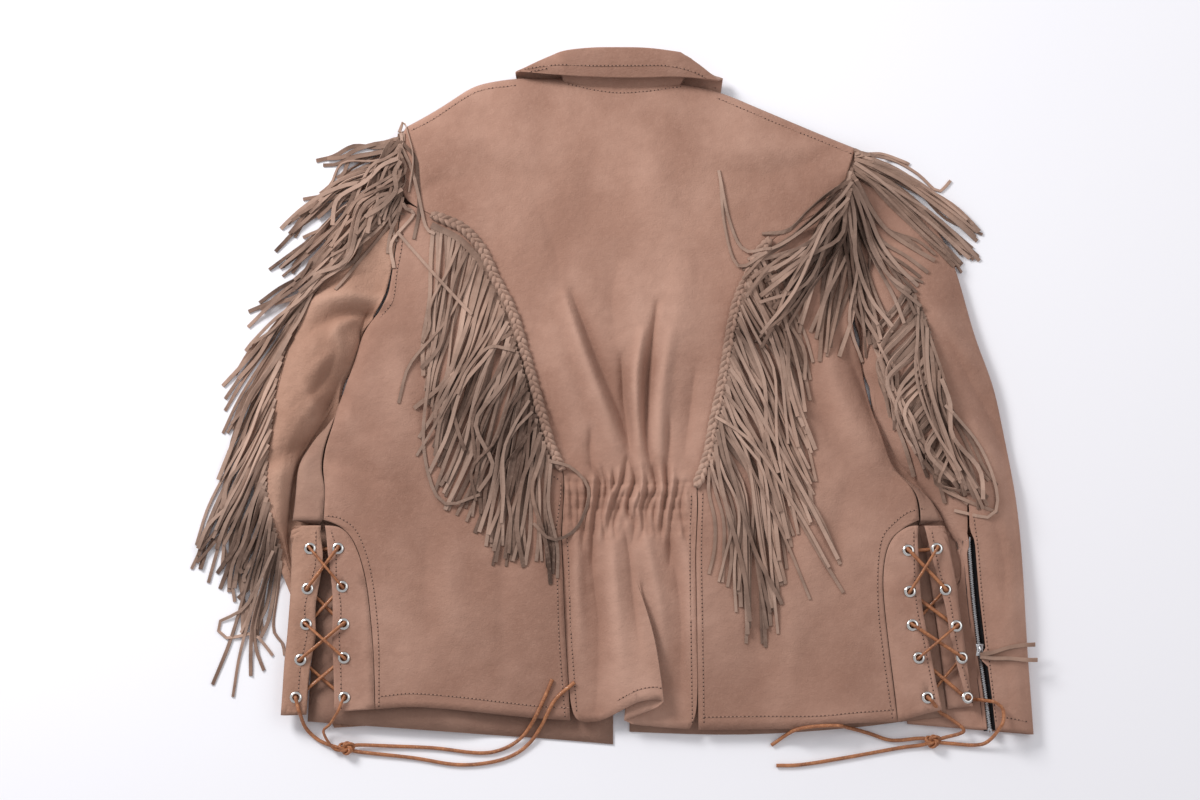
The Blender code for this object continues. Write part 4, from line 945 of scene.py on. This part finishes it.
headers = {  # the uncut band that the strips hang from
    "back_left": ((-190, 178), (-160, 162), (-138, 138), (-124, 108), (-110, 76), (-98, 42), (-88, 4),
                  (-76, -36), (-60, -84)),
    "back_right": ((166, 152), (150, 126), (140, 100), (134, 66), (128, 36), (121, -2), (113, -40),
                   (102, -92)),
    "sleeve_left": ((-244, 182), (-272, 156), (-300, 126), (-322, 96), (-338, 62)),
    "shoulder_left": ((-225, 284), (-227, 256), (-226, 230), (-222, 190)),
    "shoulder_right": ((264, 262), (258, 240), (253, 214), (250, 188)),
}
# the band's tone sits a little below the middle: painted shade under the strips
for name, route in headers.items():
    line = routeLine(route, 5, step=strip["headerStep"] * mm)
    high = clothHeight(line) + strip["headerLift"] * mm
    points, faces = sweep(np.column_stack([line, high]), flatSection(*strip["header"]))
    fringeHeaps[name].add(points, faces, strip["headerTone"])

for name, heap in fringeHeaps.items():
    made = heap.make("fringe-" + name.replace("_", "-"), "fringe", "fringe_suede", smooth=False)
    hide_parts("fringe_" + name)
print("fringes laid:", sum(len(h.points) for h in fringeHeaps.values()), "strips")

# ---- eyelets: a rolled flange turned up once, then copied to each hole
# the profile is radius, height in mm, from the inner edge outward and down the barrel
eyelet = {"segments": 28, "sunk": 0.0002,
          "profile": ((3.2, -1.6), (3.2, 0.9), (3.35, 1.45), (3.8, 1.75), (4.5, 1.72), (5.4, 1.35),
                      (6.1, 0.85),
                      (6.35, 0.45), (6.2, 0.15), (5.2, 0.1), (3.9, 0.1), (3.85, -1.6))}


def turnedRing(name, profile, segments):
    # a closed ring shape, drawn up ring by ring
    selectNone()
    radius, height = profile[0]
    bpy.ops.mesh.primitive_circle_add(vertices=segments, radius=radius * mm, location=(0, 0, height * mm))
    made = bpy.context.object
    made.name = name
    bpy.ops.object.mode_set(mode="EDIT")
    bpy.ops.mesh.select_all(action="SELECT")
    for (r0, z0), (r1, z1) in zip(profile, profile[1:] + profile[:1]):
        bpy.ops.mesh.extrude_region_move(TRANSFORM_OT_translate={"value": (0, 0, (z1 - z0) * mm)})
        bpy.ops.transform.resize(value=(r1 / r0, r1 / r0, 1), center_override=(0, 0, z1 * mm))
    bpy.ops.mesh.select_all(action="SELECT")
    bpy.ops.mesh.remove_doubles(threshold=0.00001)
    bpy.ops.mesh.normals_make_consistent(inside=False)
    bpy.ops.object.mode_set(mode="OBJECT")
    bpy.ops.object.transform_apply(location=True, rotation=True, scale=True)
    return made


def nodePlace(node):
    # the middle of a flat round CAD node, and the way it faces
    points = np.array([v.co for v in nodes[node].data.vertices])
    middle = points.mean(0)
    facing = np.linalg.svd(points - middle, full_matrices=False)[2][2]
    return Vector(middle), Vector(facing if facing[2] > 0 else -facing)


pattern = turnedRing("eyelet-pattern", eyelet["profile"], eyelet["segments"])
eyelets = {}
for side in ("left", "right"):
    for panel in ("front", "back"):
        for row in range(1, 6):
            node = f"eyelet_{side}_{panel}_{row}"
            middle, facing = nodePlace(node)
            lift = clothLift(np.array([[middle.x, middle.y]]))[0]
            middle.z += lift * smoothStep(softFrom, softTo, middle.z)
            turn = facing.to_track_quat("Z", "Y").to_matrix().to_4x4()
            turn.translation = middle - facing * eyelet["sunk"]
            ring = intoScene(bpy.data.objects.new(f"eyelet-{side}-{panel}-{row}", pattern.data.copy()))
            ring.data.transform(turn)
            ring.data.shade_smooth()
            ring.data.materials.append(looks["nickel"])
            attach(ring, "root")
            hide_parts(node)
            eyelets[(side, panel, row)] = turn
bpy.data.objects.remove(pattern)
print("eyelets set")

# ---- laces: a slightly flat leather cord through the eyelets in crosses, knotted below, with two free ends
lace = {"wide": 3.8, "high": 2.9, "sides": 10, "step": 1.3, "rest": 3.5, "leadRun": 8, "leadRest": 4,
        "leadLift": 3.7}
laceLifts = {"flange": 4.2, "under": -4.4, "frontOver": 8.2, "frontUnder": -4.6, "backOver": 4.0,
             "backUnder": -8.6, "bar": -5.0}
leads = {   # from the last eyelet to the knot: x, y, clearance, in mm
    "left": {"front": ((-321, -338, 2), (-316, -353, 2), (-302, -366, 1), (-284, -373, 2.5),
                       (-274, -374, 3)),
             "back": ((-281, -338, 2), (-290, -350, 2), (-297, -358, 6), (-286, -375, 3), (-274, -376, 2))},
    "right": {"front": ((383, -325, 6), (391, -327, 8), (399, -330, 6), (405, -337, 5), (403, -352, 5),
                        (386, -370, 2), (349, -369, 2), (335, -368, 3)),
              "back": ((342, -338, 2), (355, -346, 2), (366, -357, 5), (348, -363, 4), (336, -366, 4))},
}
tails = {   # from the knot to the free end: x, y, clearance, in mm
    "left-upper": ((-272, -373, 4), (-260, -371, 3), (-227, -372, 1), (-182, -374, 0.4), (-138, -379, 0.4),
                   (-114, -376, 0.4), (-94, -365, 0.6), (-80, -347, 0.6), (-69, -325, 0.4),
                   (-60, -304, 0.4)),
    "left-lower": ((-272, -375, 2), (-260, -378, 1), (-205, -384, 0.4), (-160, -391, 0.4),
                   (-126, -389, 0.4),
                   (-100, -381, 0.4), (-82, -367, 0.6), (-69, -347, 0.6), (-57, -325, 0.4),
                   (-37, -307, 0.4)),
    "right-upper": ((333, -366, 4), (322, -364, 3), (292, -366, 1), (269, -359, 0.6), (249, -354, 0.6),
                    (225, -352, 0.6), (192, -356, 0.6), (167, -371, 0.4)),
    "right-lower": ((333, -368, 2), (322, -371, 1), (299, -374, 0.4), (249, -383, 0.4), (199, -391, 0.4),
                    (172, -392, 0.4)),
}


def restLine(table, step=4):
    # a lace's route laid on the cloth beneath it
    line = roundedLine(table, step)
    xy = line[:, :2] * mm
    under = pile.under(xy, lace["rest"] * mm)
    for _ in range(4):
        under[1:-1] = np.maximum(under[1:-1], (under[:-2] + under[1:-1] + under[2:]) / 3)
    return np.column_stack([xy, under + lace["high"] / 2 * mm + line[:, 2] * mm])


def laceRoute(side):
    def at(panel, row, lift):
        return np.array(eyelets[(side, panel, row)] @ Vector((0, 0, lift * mm)))

    def through(panel, row, downward):
        lifts = (laceLifts["flange"], 0.0, laceLifts["under"])
        return [at(panel, row, lift) for lift in (lifts if downward else lifts[::-1])]

    def cross(a, b, lift):
        return [(at(*a, 0) + at(*b, 0)) / 2 + np.array((0, 0, lift * mm))]

    def half(first, second, over, under):
        route = through(first, 1, False) + cross((first, 1), (second, 2), over)
        route += through(second, 2, True) + cross((second, 2), (first, 3), under)
        route += through(first, 3, False) + cross((first, 3), (second, 4), over)
        route += through(second, 4, True) + cross((second, 4), (first, 5), under)
        return route + through(first, 5, False)

    def lead(panel):
        table = leads[side][panel]
        start = at(panel, 5, laceLifts["flange"])
        away = np.array(table[0][:2]) * mm - start[:2]
        spot = start[:2] + away / np.linalg.norm(away) * lace["leadRun"] * mm
        level = pile.under(np.array([spot, spot + mm]), lace["leadRest"] * mm)[0] + lace["leadLift"] * mm
        return [np.append(spot, level)] + list(restLine(table, 3))

    front = half("front", "back", laceLifts["frontOver"], laceLifts["frontUnder"])
    back = half("back", "front", laceLifts["backOver"], laceLifts["backUnder"])
    bar = cross(("front", 1), ("back", 1), laceLifts["bar"])
    return np.array(list(reversed(front + lead("front"))) + bar + back + lead("back"))


def laceTube(name, path, nodeName):
    fine = evenLine(roundedLine(path, 4), step=lace["step"] * mm)
    points, faces = sweep(fine, oval(lace["wide"], lace["high"], lace["sides"]))
    made = meshObject(name, points, faces, "lace")
    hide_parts(nodeName)
    return made, fine


# two loops of cord, one within the other: each one's size and turn, then their reach in mm
knotForm = {"loops": ((1.0, 0.0), (0.82, 0.9)), "steps": 73, "wave": 1.1, "reach": (2.6, 2.1, 2.0),
            "cord": (3.8, 3.0), "lowest": 0.5}


def knot(side):
    # an overhand knot of the two lace ends, drawn tight
    low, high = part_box(f"lace_knot_{side}")
    middle = (low + high) / 2
    heap = Heap()
    turns = np.linspace(0, 2 * math.pi, knotForm["steps"])
    plainLoop = np.column_stack([np.sin(turns) + 2 * np.sin(2 * turns),
                                 np.cos(turns) - 2 * np.cos(2 * turns),
                                 -knotForm["wave"] * np.sin(3 * turns)])
    for size, lean in knotForm["loops"]:
        turn = np.array(Matrix.Rotation(lean, 3, "Z"))
        loop = plainLoop @ turn.T * np.array(knotForm["reach"]) * mm * size + np.array(middle)
        heap.add(*sweep(loop, oval(*knotForm["cord"], lace["sides"])))
    made = heap.make(f"lace-knot-{side}", "lace", "lace_leather")
    lowest = min(v.co.z for v in made.data.vertices)
    made.data.transform(Matrix.Translation((0, 0, max(0, knotForm["lowest"] * mm - lowest))))
    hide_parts(f"lace_knot_{side}")
    return made


knots = {side: knot(side) for side in ("left", "right")}
for side in ("left", "right"):
    made, line = laceTube(f"lace-crossing-{side}", laceRoute(side), f"lace_{side}")
for name, table in tails.items():
    side, place = name.split("-")
    made, line = laceTube(f"lace-tail-{name}", restLine(table), f"lace_tail_{side}_{place}")
print("laces threaded and knotted")

# ---- seams: every row of stitches as thread over a dark disc, painted shade in the needle hole; routes in mm
# the thread's places along a stitch, as shares of its length, and their heights above the cloth
stitch = {"pitch": 4.1, "long": 2.9, "thick": (0.85, 0.595), "places": (-0.5, -0.3, 0, 0.3, 0.5),
          "arch": (-0.25, 0.2, 0.32, 0.2, -0.25), "jump": 4, "hole": 0.8, "holeDeep": 0.6, "holeLift": 0.12}
seamRows = {
    "arch-left": ((-296, -134), (-283, -136), (-268, -146), (-258, -164), (-250, -190), (-244, -225),
                  (-240, -270), (-239, -330)),
    "arch-right": ((328, -126), (312, -130), (296, -142), (284, -158), (279, -190), (279, -235),
                   (284, -285),
                   (291, -342)),
    "skirt-left": ((-45, -156), (-43, -190), (-41, -250), (-35, -334)),
    "skirt-left-side": ((-57, -160), (-55, -200), (-53, -262), (-47, -340)),
    "skirt-right": ((85, -112), (83, -174), (84, -260), (85, -346)),
    "skirt-right-side": ((97, -110), (95, -174), (96, -260), (97, -346)),
    "hem-left": ((-238, -322), (-205, -319), (-160, -322), (-115, -327), (-70, -332), (-44, -333)),
    "hem-right": ((96, -343), (150, -342), (214, -342), (250, -339), (290, -336)),
    "hem-flap": ((8, -326), (28, -316), (46, -313), (54, -315)),
    "collar-edge": ((-93, 349), (-57, 351.5), (-19, 350), (26, 350), (60, 350), (88, 345), (112, 335)),
    "neck": ((-46, 336), (-20, 329), (9, 325), (42, 327), (74, 332)),
    "slit-left-front": ((-307, -150), (-307, -182), (-310, -197), (-317, -226), (-317, -241), (-315, -258),
                        (-321, -292), (-323, -336)),
    "slit-left-back": ((-291, -150), (-286, -170), (-285, -199), (-280, -229), (-281, -263), (-279, -296),
                       (-278, -332)),
    "slit-right-back": ((317, -150), (317, -195), (319, -230), (326, -269), (335, -322)),
    "slit-right-front": ((336, -150), (344, -195), (353, -222), (357, -250), (362, -281), (374, -326)),
    "cuff-right": ((404, -343), (416, -345), (428, -347)),
    "zip-right-edge": ((379, -134), (383, -170), (386, -215), (390, -262), (395, -310), (398, -345)),
    "shoulder-left": ((-212, 284), (-190, 296), (-144, 327), (-104, 334)),
    "shoulder-right": ((116, 320), (176, 293), (232, 269), (256, 259)),
    "armhole-left": ((-220, 170), (-222, 150), (-226, 128), (-230, 97), (-242, 80)),
    "back-seam-left": ((-64, -90), (-52, -100), (-54, -130), (-57, -150)),
    "shoulder-pleat-left": ((-94, 345), (-70, 348)),
}


def stitchRow(threads, holes, route):
    line = routeLine(route, 6, step=stitch["pitch"] * mm)
    turns = np.arange(6) * math.pi / 3
    ring = np.column_stack([np.cos(turns), np.sin(turns), np.zeros(6)]) * stitch["hole"] * mm
    walls = [(j, j + 6, (j + 1) % 6 + 6, (j + 1) % 6) for j in range(6)]
    for spot, along in zip(line, headings(line)):
        spots = np.array([spot - along * stitch["long"] * mm * k for k in stitch["places"]])
        high = clothHeight(spots)
        if high.max() - high.min() > stitch["jump"] * mm:
            continue
        path = np.column_stack([spots, high + np.array(stitch["arch"]) * mm])
        threads.add(*sweep(path, oval(*stitch["thick"], 6)))
        # a dark sunk disc at the stitch's end: painted shade in the needle hole
        ends = spot + along * stitch["pitch"] * 0.5 * mm
        rim = ring + (*ends, float(clothHeight(ends)[0]) + stitch["holeLift"] * mm)
        drop = rim - (0, 0, stitch["holeDeep"] * mm)
        holes.add(np.vstack([rim, drop]), [(0, 1, 2, 3, 4, 5), (11, 10, 9, 8, 7, 6)] + walls)


threads, holes = Heap(), Heap()
for route in seamRows.values():
    stitchRow(threads, holes, route)
threadPiece = threads.make("seam-thread", "thread", "suede")
holePiece = holes.make("seam-needle-hole-shade", "needleHoleShade", "suede", smooth=False)
print("stitches sewn:", len(threads.points))

# ---- the right cuff's zip: tape, two rows of teeth, end stops, slider and its suede pull
cuffZip = {"pitch": 2.3, "tooth": (3.3, 1.25, 1.7), "levels": ((-0.5, 1.0), (0.2, 1.0), (0.5, 0.72)),
           "corners": ((-0.35, -0.5), (0.62, -0.34), (0.62, 0.34), (-0.35, 0.5)), "bite": 0.25,
           "stop": (2.4, 2.2), "stopPlace": (1.5, 0.8), "tape": (12.4, 0.8), "tapeDrop": 1.4}


def lifted(line):
    # the line moved with the lie of the cloth
    line = np.array(line)
    line[:, 2] += clothLift(line[:, :2]) * smoothStep(softFrom, softTo, line[:, 2])
    return line


def zipTeeth():
    line = lifted(evenLine(roundedLine(stations("zip_teeth"), 6), step=cuffZip["pitch"] / 2 * mm))
    heap = Heap()
    wide, long, high = (v * mm for v in cuffZip["tooth"])
    walls = [(a + 4 + j, a + 4 + (j + 1) % 4, a + (j + 1) % 4, a + j) for a in (0, 4) for j in range(4)]
    for number, (spot, along) in enumerate(zip(line, headings(line))):
        side = np.cross(along, (0, 0, 1.0))
        side /= np.linalg.norm(side)
        up = np.cross(side, along)
        hand = 1 if number % 2 else -1
        shape = [spot + side * hand * (cuffZip["bite"] - u) * wide * grow + along * v * long * grow
                 + up * level * high for level, grow in cuffZip["levels"] for u, v in cuffZip["corners"]]
        heap.add(np.array(shape), [(0, 1, 2, 3), (11, 10, 9, 8)] + walls)
    beside, apart = (v * mm for v in cuffZip["stopPlace"])
    for end, sign in ((line[0], 1), (line[-1], -1)):        # end stops
        for hand in (-1, 1):
            path = [end + np.array((hand * beside, sign * apart * k, 0.0)) for k in range(-2, 4)]
            heap.add(*sweep(path, oval(*cuffZip["stop"], 8)))
    made = heap.make("zip-teeth-rows", "zipMetal", "zip_metal", smooth=False)
    only(made)
    bpy.ops.object.mode_set(mode="EDIT")
    bpy.ops.mesh.select_all(action="SELECT")
    bpy.ops.mesh.normals_make_consistent(inside=False)
    bpy.ops.object.mode_set(mode="OBJECT")
    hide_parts("zip_teeth")
    return made


def zipTape():
    middle = lifted(evenLine(roundedLine(stations("zip_tape"), 6), step=0.003))
    middle[:, 2] -= cuffZip["tapeDrop"] * mm
    points, faces = sweep(middle, flatSection(*cuffZip["tape"]))
    made = meshObject("zip-tape-woven", points, faces, "tape", smooth=False)
    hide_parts("zip_tape")
    return made


# the slider's shield, its waist, and the bridge above it, in mm
slider = {"block": (8.8, 12.5, 2.8), "waist": 0.72, "curve": 1.4, "arch": (4.5, 1.2, 2.6), "archSteps": 11,
          "wire": (3.0, 1.2), "bevel": 0.6}


def zipSlider():
    # a block narrowed in its middle, with a bridge for the pull
    low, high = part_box("zip_slider")
    middle = (low + high) / 2
    selectNone()
    bpy.ops.mesh.primitive_cube_add(size=1, location=(0, 0, 0))
    made = bpy.context.object
    made.name = "zip-slider-shield"
    bpy.ops.object.mode_set(mode="EDIT")
    bpy.ops.mesh.select_all(action="SELECT")
    bpy.ops.transform.resize(value=[v * mm for v in slider["block"]])
    bpy.ops.mesh.subdivide(number_cuts=3)
    bpy.ops.object.mode_set(mode="OBJECT")
    waist, halfLong = slider["waist"], slider["block"][1] / 2 * mm
    for spot in made.data.vertices:
        spot.co.x *= waist + (1 - waist) * abs(spot.co.y / halfLong) ** slider["curve"]
    reach, foot, rise = (v * mm for v in slider["arch"])
    turns = np.linspace(0, math.pi, slider["archSteps"])
    arch = [(0, reach * math.cos(t), foot + rise * math.sin(t)) for t in turns]
    bridge, bridgeFaces = sweep(arch, oval(*slider["wire"], 8))
    loop = meshObject("bridge", bridge, bridgeFaces, "zipMetal")
    made.data.materials.append(looks["zipMetal"])
    only(loop)
    made.select_set(True)
    bpy.context.view_layer.objects.active = made
    bpy.ops.object.join()
    soft = made.modifiers.new("soft", "BEVEL")
    soft.width, soft.segments, soft.limit_method = slider["bevel"] * mm, 2, "ANGLE"
    bpy.ops.object.modifier_apply(modifier="soft")
    made.data.transform(Matrix.Translation(lifted([tuple(middle)])[0]))
    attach(made, "root")
    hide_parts("zip_slider")


pull = {"upper": ((384, -279, 2), (396, -277, 1.5), (412, -272, 0.6), (428, -269, 0.5), (441, -268, 0)),
        "lower": ((384, -281, 2), (396, -283, 1.5), (412, -283, 0.6), (430, -284, 0.5), (443, -284, 0)),
        "section": (4.2, 1.4), "tones": {"upper": 0.45, "lower": 0.62}, "step": 2.5, "rest": 2, "drop": 6,
        "lift": 0.9, "twist": (0.5, 4)}


def zipPull():
    # a strip of suede doubled through the slider's bridge, its two ends side by side
    heap = Heap()
    for name, tone in pull["tones"].items():
        line = evenLine(roundedLine(pull[name], 5), step=pull["step"])
        xy = line[:, :2] * mm
        rest = pile.under(xy, pull["rest"] * mm)
        rest = levelled(np.maximum(rest, rest.max() - pull["drop"] * mm), 6)
        path = np.column_stack([xy, rest + (line[:, 2] + pull["lift"]) * mm])
        turn, waves = pull["twist"]
        turns = turn * np.sin(np.linspace(0, waves, len(path)))
        heap.add(*sweep(path, flatSection(*pull["section"]), turns), tone)
    made = heap.make("zip-pull-thong", "fringe", "thong_suede", smooth=False)
    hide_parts("zip_thong")


teethPiece = zipTeeth()
tapePiece = zipTape()
zipSlider()
zipPull()
print("cuff zip fitted")

print("scene built")
